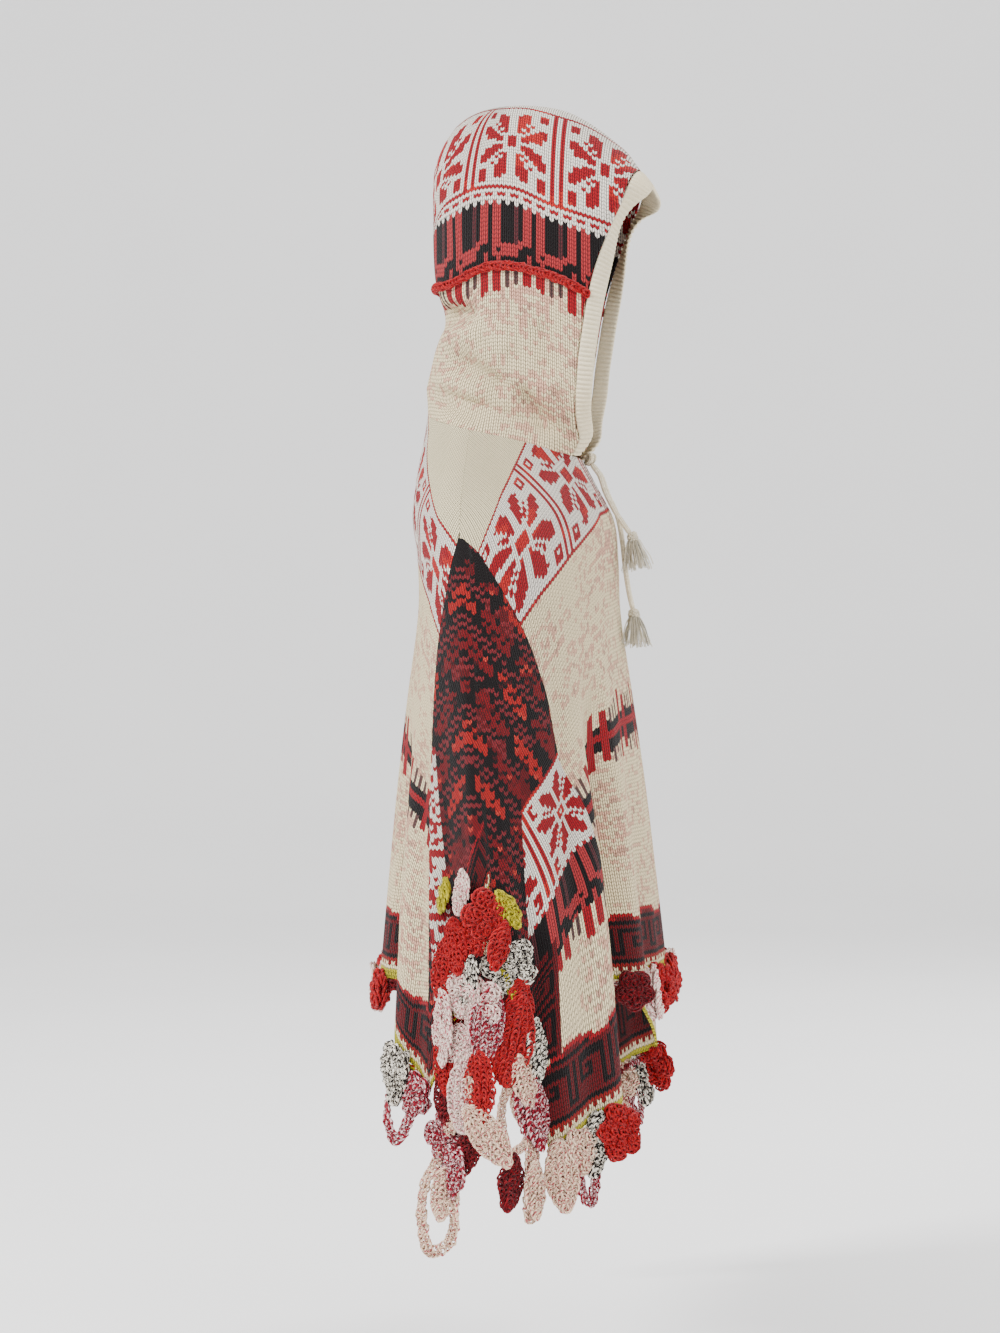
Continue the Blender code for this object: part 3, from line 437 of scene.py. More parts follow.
def stitch_group():
    """Knit stitches in vees: the stitch's own place, its height as relief and a random number."""
    group, n, given, result = shader_group("knit stitch", "U V Wale Course", "U V Relief Random")
    u = n.over(given["U"], given["Wale"])
    column = n.floor(u)
    in_column = n.size(n.minus(n.minus(u, column), 0.5))
    v = n.minus(n.over(given["V"], given["Course"]), n.times(in_column, 1.15))
    row = n.floor(v)
    in_row = n.size(n.minus(n.minus(v, row), 0.5))
    leg = n.minus(1.0, n.power(n.times(n.size(n.minus(in_column, 0.26)), 3.9), 3.0))
    bulge = n.minus(1.0, n.power(n.times(in_row, 2.0), 4.0))
    n.feed(result["U"], n.times(n.plus(column, 0.5), given["Wale"]))
    n.feed(result["V"], n.times(n.plus(row, 0.8), given["Course"]))
    n.feed(result["Relief"], n.times(n.either(leg, 0.0), n.plus(0.35, n.times(bulge, 0.65))))
    n.feed(result["Random"], n.scatter(n.vector(column, row)))
    return group


def flower_group():
    """An eight-petal star flower in a tile from -1 to 1, with small squares at its corners."""
    group, n, given, result = shader_group("eight-petal flower", "U V", "Petal Corner")
    a, b = n.size(given["U"]), n.size(given["V"])
    far, near = n.either(a, b), n.maths("MINIMUM", a, b)
    lean = n.over(n.minus(near, n.times(far, 0.42)), n.plus(0.015, n.times(far, 0.25)))
    length = n.over(n.minus(far, 0.58), 0.34)
    petal = n.below(n.plus(n.power(n.size(lean), 2.2), n.power(n.size(length), 2.6)), 1.0)
    petal = n.both(petal, n.above(near, 0.055))
    cross = n.both(n.below(n.size(n.minus(a, b)), 0.055), n.between(far, 0.30, 0.60))
    heart = n.both(n.below(far, 0.15), n.above(far, 0.04))
    ca, cb = n.size(n.minus(a, 0.84)), n.size(n.minus(b, 0.84))
    ring = n.either(ca, cb)
    n.feed(result["Petal"], n.either(n.either(petal, heart), cross))
    n.feed(result["Corner"], n.between(ring, 0.045, 0.145))
    return group


def key_group():
    """A square meander that runs along U, with lines above and below it. V runs 0 to 1 over the band."""
    group, n, given, result = shader_group("meander", "U V", "Line")
    u, v = n.repeat(given["U"], 10.0), n.times(given["V"], 11.0)
    rows = (
        (0, 10, 0, 1), (0, 10, 10, 11), (0, 1, 2, 9), (0, 7, 8, 9), (6, 7, 4, 9),
        (3, 7, 4, 5), (3, 4, 4, 7), (3, 5, 6, 7), (8, 9, 2, 9), (8, 10, 2, 3),
    )
    n.feed(result["Line"], n.boxes(u, v, rows))
    return group


def window_group():
    """The dark band of windows: V runs 0 to 1 from its lower edge up, U counts its repeats."""
    group, n, given, result = shader_group("window band", "U V", "Dark Red")
    u, v = n.repeat(given["U"], 1.0), given["V"]
    posts = n.boxes(u, v, ((0.51, 0.67, 0.36, 1.05), (0.84, 1.00, 0.30, 1.05)))
    sills = n.boxes(u, v, ((0.04, 0.42, 0.16, 0.34), (0.42, 0.52, 0.28, 0.42), (0.62, 0.72, 0.04, 0.22),
                           (0.76, 0.86, 0.14, 0.26), (0.10, 0.30, 0.0, 0.08), (0.92, 1.0, 0.04, 0.24)))
    n.feed(result["Red"], n.both(n.either(posts, sills), n.between(v, 0.0, 1.0)))
    n.feed(result["Dark"], n.between(v, 0.0, 1.0))
    return group


def bars_group():
    """Two dark lines crossed by pairs of red bars, with thin ticks: U in repeats, V from -1 to 1."""
    group, n, given, result = shader_group("bar band", "U V", "Dark Red Tick")
    u, v = n.repeat(given["U"], 1.0), given["V"]
    red = n.boxes(u, v, ((0.0, 0.14, -0.95, 1.0), (0.28, 0.42, -0.80, 0.85), (0.13, 1.0, -0.11, 0.12)))
    dark = n.boxes(u, v, ((0.0, 1.0, 0.12, 0.38), (0.0, 1.0, -0.38, -0.11), (0.43, 0.49, -0.55, 0.52)))
    ticks = n.boxes(u, v, ((0.51, 0.56, -0.85, 0.85), (0.65, 0.70, -0.70, 0.75), (0.80, 0.84, -0.85, 0.9)))
    n.feed(result["Dark"], dark)
    n.feed(result["Red"], red)
    n.feed(result["Tick"], ticks)
    return group


def leaf_group():
    """Leaves in chevrons that climb to a ridge at U 0, parted by thin lines, in metres."""
    group, n, given, result = shader_group("leaf chevrons", "U V Random", "Leaf Bright Line")
    away = n.size(given["U"])
    climb = n.plus(given["V"], n.times(away, 1.25))
    tall, long = 0.044, 0.034
    step = n.minus(n.repeat(climb, tall), 0.016)
    index = n.floor(n.over(climb, tall))
    shifted = n.plus(away, n.times(n.repeat(n.times(index, 0.38), 1.0), long))
    across = n.minus(n.repeat(shifted, long), long * 0.46)
    wide = n.minus(0.0128, n.times(n.plus(across, long / 2), 0.10))
    leaf = n.below(n.plus(n.power(n.over(n.size(step), wide), 2.0),
                          n.power(n.over(n.size(across), 0.0150), 2.0)), 1.0)
    vein = n.both(n.below(n.size(step), 0.0016), n.below(across, 0.008))
    line = n.either(n.between(step, 0.0150, 0.0190), n.between(step, 0.0230, 0.0268))
    line = n.both(line, n.above(given["Random"], 0.12))
    n.feed(result["Leaf"], n.both(leaf, n.minus(1.0, vein)))
    count = n.plus(index, n.floor(n.over(shifted, long)))
    n.feed(result["Bright"], n.both(leaf, n.above(n.repeat(count, 3.0), 1.5)))
    n.feed(result["Line"], line)
    return group


def wale_middle(station, height):
    """The middle of the wale at a place, in metres of cloth from centre front."""
    return (math.floor(float(arc(np.array(station), np.array(height))) / WALE) + 0.5) * WALE


BAND_SEPARATOR = wale_middle(0.2775, -0.066)
SIDE_SEPARATOR = wale_middle(0.3725, -0.413)
GROUPS = {
    "stitch": stitch_group(),
    "flower": flower_group(),
    "key": key_group(),
    "window": window_group(),
    "bars": bars_group(),
    "leaf": leaf_group(),
}


def new_material(name, roughness=0.95, sheen=0.06):
    made = bpy.data.materials.new(name)
    made.use_nodes = True
    shader = made.node_tree.nodes["Principled BSDF"]
    shader.inputs["Roughness"].default_value = roughness
    shader.inputs["Specular IOR Level"].default_value = 0.12
    shader.inputs["Sheen Weight"].default_value = sheen
    shader.inputs["Sheen Roughness"].default_value = 0.55
    return made, Nodes(made.node_tree), shader


# Scales of the yarn's fuzz and of the mottling, and the strength of the relief.
FUZZ_SCALE = 900.0
PATCH_SCALE = 14.0
RELIEF_STRENGTH = 0.9


def paint_gap_shade_and_bump(n, shader, colour, relief, place, depth=0.0020, dark=0.10):
    """Paints shade into the colour of the gaps between stitches, down to the level dark, mottles the yarn and
    gives the relief to the normal.
    """
    fuzz = n.noise(place, FUZZ_SCALE, 3.0)
    patch = n.noise(place, PATCH_SCALE, 3.0)
    # Painted shade: the colour darkens with the relief, to the level dark in the gaps; fuzz and patch then
    # add the yarn's own mottling.
    gap_shade_and_mottle = n.plus(n.times(relief, 1 - dark), dark)
    gap_shade_and_mottle = n.times(gap_shade_and_mottle, n.plus(0.82, n.times(fuzz, 0.36)))
    gap_shade_and_mottle = n.times(gap_shade_and_mottle, n.plus(0.90, n.times(patch, 0.20)))
    n.feed(shader.inputs["Base Color"], n.mix(gap_shade_and_mottle, (0.0, 0.0, 0.0, 1.0), colour))
    bump = n.add("ShaderNodeBump")
    bump.inputs["Strength"].default_value = RELIEF_STRENGTH
    bump.inputs["Distance"].default_value = depth
    n.feed(bump.inputs["Height"], n.plus(relief, n.times(fuzz, 0.25)))
    n.feed(shader.inputs["Normal"], bump.outputs["Normal"])


def uv_place(n, layer):
    node = n.add("ShaderNodeUVMap", uv_map=layer)
    return n.split(node.outputs[0])


def object_place(n):
    return n.add("ShaderNodeTexCoord").outputs["Object"]


def flecked_cream(n, u, v, random_value, place, amount=0.62):
    """Cream knit with pale pink floats that show through in short rows."""
    rows = n.noise(n.vector(n.times(u, 34.0), n.times(v, 120.0)), 1.0, 2.0)
    clouds = n.noise(n.vector(n.times(u, 9.0), n.times(v, 16.0)), 1.0, 2.0)
    fleck = n.plus(n.times(rows, 0.5), n.times(clouds, 0.5))
    thick = n.above(n.plus(fleck, n.times(random_value, 0.30)), amount + 0.09)
    fleck = n.both(thick, n.above(random_value, 0.25))
    grey = n.both(n.above(random_value, 0.93), n.above(clouds, 0.50))
    warm = n.mix(n.times(n.noise(place, 6.0), 0.30), CREAM, srgb(222, 196, 160))
    tint = n.plus(0.35, n.times(clouds, 0.45))
    colour = n.mix(n.times(fleck, tint), warm, PINK_FLECK)
    return n.mix(n.times(grey, 0.35), colour, srgb(120, 96, 88))


def zigzag_edge(n, u, level):
    """A level that steps up by one course over every second wale."""
    return n.plus(level, n.times(n.below(n.repeat(u, 2 * WALE), WALE), COURSE))


def flower_band(n, u, v, low, high, tile, colour):
    """Paints a row of flowers between two borders over a colour, with double stripes between tiles."""
    middle, half = (low + high) / 2, (high - low) / 2 * 0.86
    along = n.minus(n.repeat(u, tile), tile / 2)
    stripe_free = tile * 0.40
    flower = n.use(GROUPS["flower"], U=n.over(along, stripe_free), V=n.over(n.minus(v, middle), half))
    inside = n.between(v, low, high)
    red = n.either(flower["Petal"], flower["Corner"])
    red = n.both(red, n.below(n.size(n.over(along, stripe_free)), 1.0))
    edge = n.minus(tile / 2, n.size(along))
    stripes = n.between(edge, WALE * 0.5, WALE * 1.5)
    border = n.either(n.between(v, low, low + 0.0040), n.between(v, high - 0.0040, high))
    red = n.both(inside, n.either(n.either(red, stripes), border))
    clouds = n.noise(n.vector(n.times(u, 22.0), n.times(v, 22.0)), 1.0)
    reds = n.mix(n.above(clouds, 0.56), RED, CORAL)
    ground = n.mix(inside, colour, WHITE)
    return n.mix(red, ground, reds)


def key_hem(n, u, v, top, colour):
    """Paints the meander hem: wavy top edge, meander, brick stripe, cream zigzag and green edge."""
    wave = n.plus(top, n.times(n.sine(n.times(u, 85.0)), 0.0035))
    line = n.use(GROUPS["key"], U=n.over(u, WALE), V=n.over(n.minus(v, 0.0150), top - 0.019))
    ground = n.mix(line["Line"], MAROON, BLACK)
    rim = n.between(v, n.minus(wave, 0.0045), wave)
    ground = n.mix(rim, ground, RED)
    ground = n.mix(n.below(v, 0.0155), ground, BRICK)
    ground = n.mix(n.below(v, zigzag_edge(n, u, 0.0078)), ground, CREAM)
    ground = n.mix(n.below(v, 0.0045), ground, GREEN)
    return n.mix(n.below(v, wave), colour, ground)


def window_paint(n, u, v, low, high, repeat, colour):
    """Paints the window band and the red bars that drip below it."""
    window = n.use(GROUPS["window"], U=n.over(u, repeat), V=n.over(n.minus(v, low), high - low))
    colour = n.mix(window["Dark"], colour, BLACK)
    colour = n.mix(window["Red"], colour, ROSE_RED)
    phase = n.repeat(u, repeat)
    drop = n.plus(low - 0.023, n.times(n.sine(n.times(u, 61.0)), 0.005))
    drip = n.boxes(phase, v, ((repeat * 0.51, repeat * 0.67, drop, low), (repeat * 0.84, repeat, drop, low)))
    thin = n.boxes(phase, v, (
        (repeat * 0.10, repeat * 0.17, low - 0.020, low), (repeat * 0.30, repeat * 0.40, low - 0.016, low),
    ))
    sill = low + (high - low) * 0.36
    inner = n.boxes(phase, v, (
        (repeat * 0.18, repeat * 0.24, sill, high), (repeat * 0.32, repeat * 0.37, sill, high),
    ))
    colour = n.mix(n.times(inner, 0.6), colour, srgb(96, 40, 46))
    colour = n.mix(thin, colour, srgb(86, 58, 56))
    return n.mix(drip, colour, RED)


def stitches_of(n, layer="fabric"):
    """The knit stitches of a UV map in metres."""
    parts = uv_place(n, layer)
    return n.use(GROUPS["stitch"], U=parts[0], V=parts[1], Wale=WALE, Course=COURSE)


def knit_material(name):
    """A new knit material with its stitches, the place on the piece and the stitch's U and V."""
    made, n, shader = new_material(name)
    stitch = stitches_of(n)
    return made, n, shader, stitch, object_place(n), stitch["U"], stitch["V"]


def panel_knit():
    """Front and back: meander hem, cream, bar band, cream, flower band and the plain shoulder."""
    made, n, shader, stitch, place, u, v = knit_material("knit_panel")
    colour = flecked_cream(n, u, v, stitch["Random"], place)
    bar_u, bar_v = n.over(n.plus(u, 3 * WALE), 14 * WALE), n.over(n.minus(v, BARS_MIDDLE), 0.034)
    bars = n.use(GROUPS["bars"], U=bar_u, V=bar_v)
    near_bars = n.between(v, BARS_MIDDLE - 0.037, BARS_MIDDLE + 0.037)
    for part, paint in (("Tick", TICK_BROWN), ("Dark", BLACK), ("Red", RED)):
        colour = n.mix(n.both(bars[part], near_bars), colour, paint)
    plain = n.mix(n.times(n.noise(place, 5.0), 0.25), srgb(238, 224, 184), srgb(220, 202, 156))
    colour = n.mix(n.above(v, FLOWERS_HIGH), colour, plain)
    band_u = n.minus(n.size(u), BAND_SEPARATOR)
    colour = flower_band(n, band_u, v, FLOWERS_LOW, FLOWERS_HIGH, 27 * WALE, colour)
    colour = key_hem(n, u, v, KEY_TOP, colour)
    paint_gap_shade_and_bump(n, shader, colour, stitch["Relief"], place)
    return made


def side_knit():
    """The side panel: leaves round the ridge, and on its front part the bands of the front's fabric."""
    made, n, shader, stitch, place, u, v = knit_material("knit_side")
    ridge = stitches_of(n, "ridge")
    ru, rv = ridge["U"], ridge["V"]
    leaf = n.use(GROUPS["leaf"], U=ru, V=rv, Random=ridge["Random"])
    clouds = n.noise(n.vector(n.times(ru, 26.0), n.times(rv, 14.0)), 1.0, 3.0)
    leaves = n.mix(leaf["Bright"], srgb(112, 8, 18), srgb(166, 26, 24))
    leaves = n.mix(n.above(ridge["Random"], 0.90), leaves, srgb(62, 6, 12))
    leaves = n.mix(n.below(ridge["Random"], 0.06), leaves, srgb(186, 50, 40))
    dark = n.mix(n.above(n.plus(clouds, n.times(ridge["Random"], 0.08)), 0.64), BLACK, MAROON)
    colour = n.mix(n.both(leaf["Leaf"], n.below(rv, -0.150)), dark, leaves)
    colour = n.mix(n.times(leaf["Line"], 0.8), colour, srgb(130, 34, 42))
    margin = n.both(n.between(ru, -0.066, -0.040), n.between(rv, -0.56, -0.31))
    mottle = n.noise(n.vector(n.times(ru, 230.0), n.times(rv, 110.0)), 1.0)
    mottle = n.above(n.plus(mottle, n.times(n.minus(ridge["Random"], 0.5), 0.3)), 0.52)
    colour = n.mix(margin, colour, n.mix(mottle, WHITE, RED))
    front = n.above(ru, 0.052)
    banded = flecked_cream(n, u, v, stitch["Random"], place, 0.66)
    banded = window_paint(n, u, v, WINDOW_LOW, SIDE_FLOWERS_LOW, 10 * WALE, banded)
    above_band = n.mix(leaf["Leaf"], n.mix(n.above(clouds, 0.5), BLACK, MAROON), leaves)
    banded = n.mix(n.above(v, SIDE_FLOWERS_HIGH), banded, above_band)
    band_u = n.minus(u, SIDE_SEPARATOR)
    banded = flower_band(n, band_u, v, SIDE_FLOWERS_LOW, SIDE_FLOWERS_HIGH, 22 * WALE, banded)
    banded = n.mix(n.between(v, zigzag_edge(n, u, 0.1990), 0.2075), banded, WHITE)
    strip = n.both(n.below(ru, 0.076), n.between(v, 0.070, 0.165))
    key_strip = n.use(GROUPS["key"], U=n.over(v, COURSE), V=n.over(n.minus(ru, 0.034), 11 * WALE))
    banded = n.mix(strip, banded, n.mix(key_strip["Line"], MAROON, BLACK))
    colour = n.mix(n.both(front, n.below(v, 0.335)), colour, banded)
    colour = key_hem(n, u, v, SIDE_KEY_TOP, colour)
    paint_gap_shade_and_bump(n, shader, colour, stitch["Relief"], place)
    return made


def hood_knit():
    """The hood: flowers over the crown, window band, red bars and flecked cream down to the neck."""
    made, n, shader, stitch, place, u, v = knit_material("knit_hood")
    colour = flecked_cream(n, u, v, stitch["Random"], place, 0.60)
    colour = window_paint(n, n.plus(u, 2 * WALE), v, 0.0, 0.058, 10 * WALE, colour)
    colour = n.mix(n.between(v, zigzag_edge(n, u, 0.0530), 0.070), colour, WHITE)
    dots = n.both(n.between(v, 0.0606, 0.0648), n.below(n.repeat(u, 3 * WALE), 2 * WALE))
    colour = n.mix(dots, colour, RED)
    colour = flower_band(n, n.plus(u, 10.5 * WALE), v, 0.068, 0.182, 21 * WALE, colour)
    colour = n.mix(n.above(v, 0.182), colour, WHITE)
    spot = n.split(place)
    seam_strip = n.both(n.below(n.size(spot[1]), 0.0125), n.above(spot[2], 0.250))
    colour = n.mix(seam_strip, colour, CREAM)
    paint_gap_shade_and_bump(n, shader, colour, stitch["Relief"], place)
    return made


def rib_material():
    """Plain cream yarn of the ribbed band and cords."""
    made, n, shader = new_material("cream_rib")
    place = object_place(n)
    tone = n.noise(place, 9.0, 3.0)
    colour = n.mix(tone, srgb(236, 226, 198), srgb(216, 200, 166))
    # The fine noise relief is also painted as shade into the colour, down to 0.72 in its hollows.
    paint_gap_shade_and_bump(n, shader, colour, n.noise(place, 520.0, 2.0), place, 0.0005, 0.72)
    return made


def yarn_material(name, first, second, share=0.5, stripe=2.0):
    """Plied yarn of two colours that wind round it, on the yarn's own UV."""
    made, n, shader = new_material(name, 0.95, 0.08)
    place = object_place(n)
    parts = uv_place(n, "yarn")
    ply = n.repeat(n.plus(parts[0], n.times(parts[1], stripe)), 1.0)
    soft = n.noise(n.vector(n.times(parts[0], 3.0), n.times(parts[1], 2.2)), 1.0, 2.0)
    mask = n.above(n.plus(ply, n.times(n.minus(soft, 0.5), 0.9)), share)
    # The groove's relief also darkens the colour as painted shade in the grooves between the plies.
    groove = n.sine(n.times(n.plus(parts[0], n.times(parts[1], stripe)), 4 * math.pi))
    relief = n.plus(0.5, n.times(groove, 0.5))
    paint_gap_shade_and_bump(n, shader, n.mix(mask, first, second), relief, place, 0.0004, 0.66)
    return made


def cord_material():
    """Cream knitted cord: small vees round its own UV."""
    made, n, shader = new_material("cream_cord")
    place = object_place(n)
    parts = uv_place(n, "yarn")
    stitch = n.use(GROUPS["stitch"], U=parts[0], V=parts[1], Wale=0.25, Course=0.30)
    colour = n.mix(stitch["Random"], srgb(238, 228, 204), srgb(222, 208, 178))
    # The stitch relief is also painted as shade into the colour, down to 0.62 in the gaps.
    paint_gap_shade_and_bump(n, shader, colour, stitch["Relief"], place, 0.0006, 0.62)
    return made


def deselect_all():
    """Clears the selection, which Blender's own operators work on."""
    for obj in bpy.context.selected_objects:
        obj.select_set(False)


def only(obj):
    deselect_all()
    obj.select_set(True)
    bpy.context.view_layer.objects.active = obj


def apply_all(obj):
    only(obj)
    for modifier in list(obj.modifiers):
        bpy.ops.object.modifier_apply(modifier=modifier.name)


def add_object(name, data):
    obj = bpy.data.objects.new(name, data)
    bpy.context.scene.collection.objects.link(obj)
    return obj


def smooth_faces(mesh):
    mesh.polygons.foreach_set("use_smooth", [True] * len(mesh.polygons))


def set_uv(mesh, name, values):
    """A UV map from one value for each vertex."""
    layer = mesh.uv_layers.get(name) or mesh.uv_layers.new(name=name)
    loops = np.empty(len(mesh.loops), int)
    mesh.loops.foreach_get("vertex_index", loops)
    layer.uv.foreach_set("vector", values[loops].astype(np.float32).ravel())


def grid_shell(name, points, normals, maps, look):
    """A cloth wall: a grid primitive whose points take their places, thickened, smooth and turned outward."""
    rows, columns = points.shape[:2]
    deselect_all()
    bpy.ops.mesh.primitive_grid_add(x_subdivisions=columns - 1, y_subdivisions=rows - 1, size=1.0)
    obj = bpy.context.active_object
    obj.name = name
    mesh = obj.data
    mesh.vertices.foreach_set("co", points.reshape(-1, 3).astype(np.float32).ravel())
    while mesh.uv_layers:
        mesh.uv_layers.remove(mesh.uv_layers[0])
    for title, values in maps.items():
        set_uv(mesh, title, values.reshape(-1, 2))
    mesh.update()
    face = mesh.polygons[len(mesh.polygons) // 2]
    outward = normals.reshape(-1, 3)[face.vertices[0]]
    if np.dot(np.array(face.normal), outward) < 0:
        mesh.flip_normals()
    mesh.materials.append(look)
    solid = obj.modifiers.new("wall", "SOLIDIFY")
    solid.thickness = WALL
    solid.offset = 0.0
    solid.use_even_offset = False
    apply_all(obj)
    smooth_faces(obj.data)
    only(obj)
    bpy.ops.object.shade_smooth_by_angle(angle=math.radians(55))
    return obj


# Rows and columns of each cloth's grid.
PANEL_ROWS, PANEL_COLUMNS = 96, 109
SIDE_ROWS, SIDE_PART_COLUMNS = 90, 14
HOOD_SHELL_ROWS, HOOD_SHELL_COLUMNS = 150, 64
SEAM_STATIONS = 0.0003
SLIT_STATION = 0.476
SIDE_STOPS = (0.250, 0.384, SLIT_STATION, 0.630)  # stations where the hem turns, each on a column


def seam_station(table, height, toward_front):
    """The edge of a panel at a seam, half a gap away from it."""
    station = np.where(height <= APEX_Z, smooth(table, height), RIDGE)
    return station - SEAM_STATIONS if toward_front else station + SEAM_STATIONS


def panel_shell(name, seam, centre, look):
    """The front or back panel with its fabric's UV."""
    toward_front = centre == 0.0
    corner = seam[-1][1]
    top_edge, hem_edge = linear(NECKLINE, RIDGE), hem_height(corner)
    share = np.linspace(0, 1, PANEL_ROWS)[:, None]
    t = np.linspace(-1, 1, PANEL_COLUMNS)[None, :]
    side = np.where(t < 0, RIGHT, LEFT)
    top = linear(NECKLINE, centre + (RIDGE - centre) * np.abs(t))
    bottom = hem_height(centre + (corner - centre) * np.abs(t))
    height = top + (bottom - top) * share
    edge_z = top_edge + (hem_edge - top_edge) * share
    edge = seam_station(seam, edge_z, toward_front)
    station = centre + (edge - centre) * np.abs(t)
    side = np.broadcast_to(side, station.shape)
    points = cloth(station, height, side)
    normals = cloth_normal(station, height, side)
    courses = FRONT_COURSES if toward_front else BACK_COURSES
    v = course(courses, COURSE_LEVELS, station, height)
    run = np.abs(arc(station, height) - arc(np.full_like(station, centre), height))
    fabric = np.stack([run * side, v], axis=-1)
    return grid_shell(name, points, normals, {"fabric": fabric}, look)


def side_shell(name, side, look):
    """The side panel, open at its slit, with the fabric's UV and one counted from the ridge."""
    first, last = FRONT_SEAM[-1][1], BACK_SEAM[-1][1]
    f = np.linspace(0, 1, SIDE_ROWS)[:, None]
    stops = (first, *SIDE_STOPS, last)
    parts = [np.linspace(a, b, SIDE_PART_COLUMNS)[:-1] for a, b in zip(stops, stops[1:])]
    fine = np.concatenate(parts + [[last]])
    t = ((fine - first) / (last - first))[None, :]
    bottom = hem_height(first + (last - first) * t)
    height = APEX_Z + (bottom - APEX_Z) * f
    front = seam_station(FRONT_SEAM, APEX_Z + (hem_height(first) - APEX_Z) * f, False)
    back = seam_station(BACK_SEAM, APEX_Z + (hem_height(last) - APEX_Z) * f, True)
    station = front + (back - front) * t
    points = cloth(station, height, side)
    normals = cloth_normal(station, height, np.full(station.shape, side))
    v = course(SIDE_COURSES, SIDE_LEVELS, station, height)
    v = np.where(station > SLIT_STATION, height - hem_height(station), v)
    run = arc(station, height)
    fabric = np.stack([run, v], axis=-1)
    ridge = np.stack([arc(np.full_like(station, RIDGE), height) - run, height], axis=-1)
    return grid_shell(name, points, normals, {"fabric": fabric, "ridge": ridge}, look)


def crease_offset(points):
    """How far the hood's creases move a point along its normal."""
    offset = np.zeros(points.shape[:-1])
    for x, z, run_x, run_z, half, depth in HOOD_CREASES:
        length = math.hypot(run_x, run_z)
        dx, dz = points[..., 0] - x, points[..., 2] - z
        along = (dx * run_x + dz * run_z) / length**2
        across = np.abs(dx * run_z - dz * run_x) / length
        ends = ease((1 - np.abs(2 * along - 1)) * 1.6)
        offset += depth * ends * np.exp(-((across / half) ** 2))
    return offset


def hood_shell(name, side, look):
    """Half of the hood. Its UV unrolls the crown and the nape onto the flat side."""
    s = np.linspace(0, 1, HOOD_SHELL_ROWS)[:, None]
    t = np.linspace(0, 1, HOOD_SHELL_COLUMNS)[None, :]
    points = hood_point(s, t, side)
    normals = hood_normal(s, t, side)
    x, y, z = points[..., 0], np.abs(points[..., 1]), points[..., 2]
    calm = np.minimum(1.0, np.minimum((1 - s) * 8, np.minimum(t * 6, (1 - t) * 6)))
    shaped = points + normals * (crease_offset(points) * calm)[..., None]
    shaped[..., 1] += side * SEAM / 2
    knee = linear(HOOD_TOP, x) - HOOD_ROUND
    level = np.where(z > knee, knee + HOOD_ROUND * np.arctan2(z - knee, y), z)
    chain, border = smooth(CHAIN_LINE, np.clip(x, -0.09, 0.1)), smooth(BORDER_LINE, np.clip(x, -0.09, 0.11))
    v = np.where(level < chain, level - chain, (level - chain) / (border - chain) * HOOD_BORDER)
    v = np.where(level > border, HOOD_BORDER + level - border, v)
    back_knee = linear(HOOD_BACK, z) + HOOD_ROUND
    u = np.where(x > back_knee, x, back_knee - HOOD_ROUND * np.arctan2(back_knee - x, y))
    fabric = np.stack([u, v], axis=-1)
    return grid_shell(name, shaped, normals, {"fabric": fabric}, look)


def distances(points):
    """Metres along a line at each of its points."""
    return np.concatenate([[0], np.cumsum(np.linalg.norm(np.diff(points, axis=0), axis=1))])


def between_points(at, along, values):
    """Values that are known along a line, at other places on it."""
    return np.stack([np.interp(at, along, values[:, k]) for k in range(3)], axis=1)


def resample(points, step, *others):
    """Points, and values that go with them, spread evenly along the line."""
    along = distances(points)
    at = np.linspace(0, along[-1], max(3, round(along[-1] / step) + 1))
    return [between_points(at, along, values) for values in (points, *others)]


def smooth_line(points, count):
    """A smooth line through points, spread evenly."""
    points = np.array(points, float)
    along = distances(points)
    at = np.linspace(0, along[-1], count)
    return np.stack([smooth(list(zip(along, points[:, k])), at) for k in range(3)], axis=1)


def soften(values, passes):
    """Each row drawn toward the mean of its neighbours, in place."""
    for _ in range(passes):
        values[1:-1] = (values[:-2] + 2 * values[1:-1] + values[2:]) / 4
    return values


BAND_WIDTH = 0.018
BAND_BRIM_EXTRA = 0.009
BAND_THICK = 0.0030
BAND_GAP = 0.0016
BAND_DROOP = 0.0012
RIB_PITCH = 0.0048
RIB_DEPTH = 0.0024
RIB_SAMPLES = 6


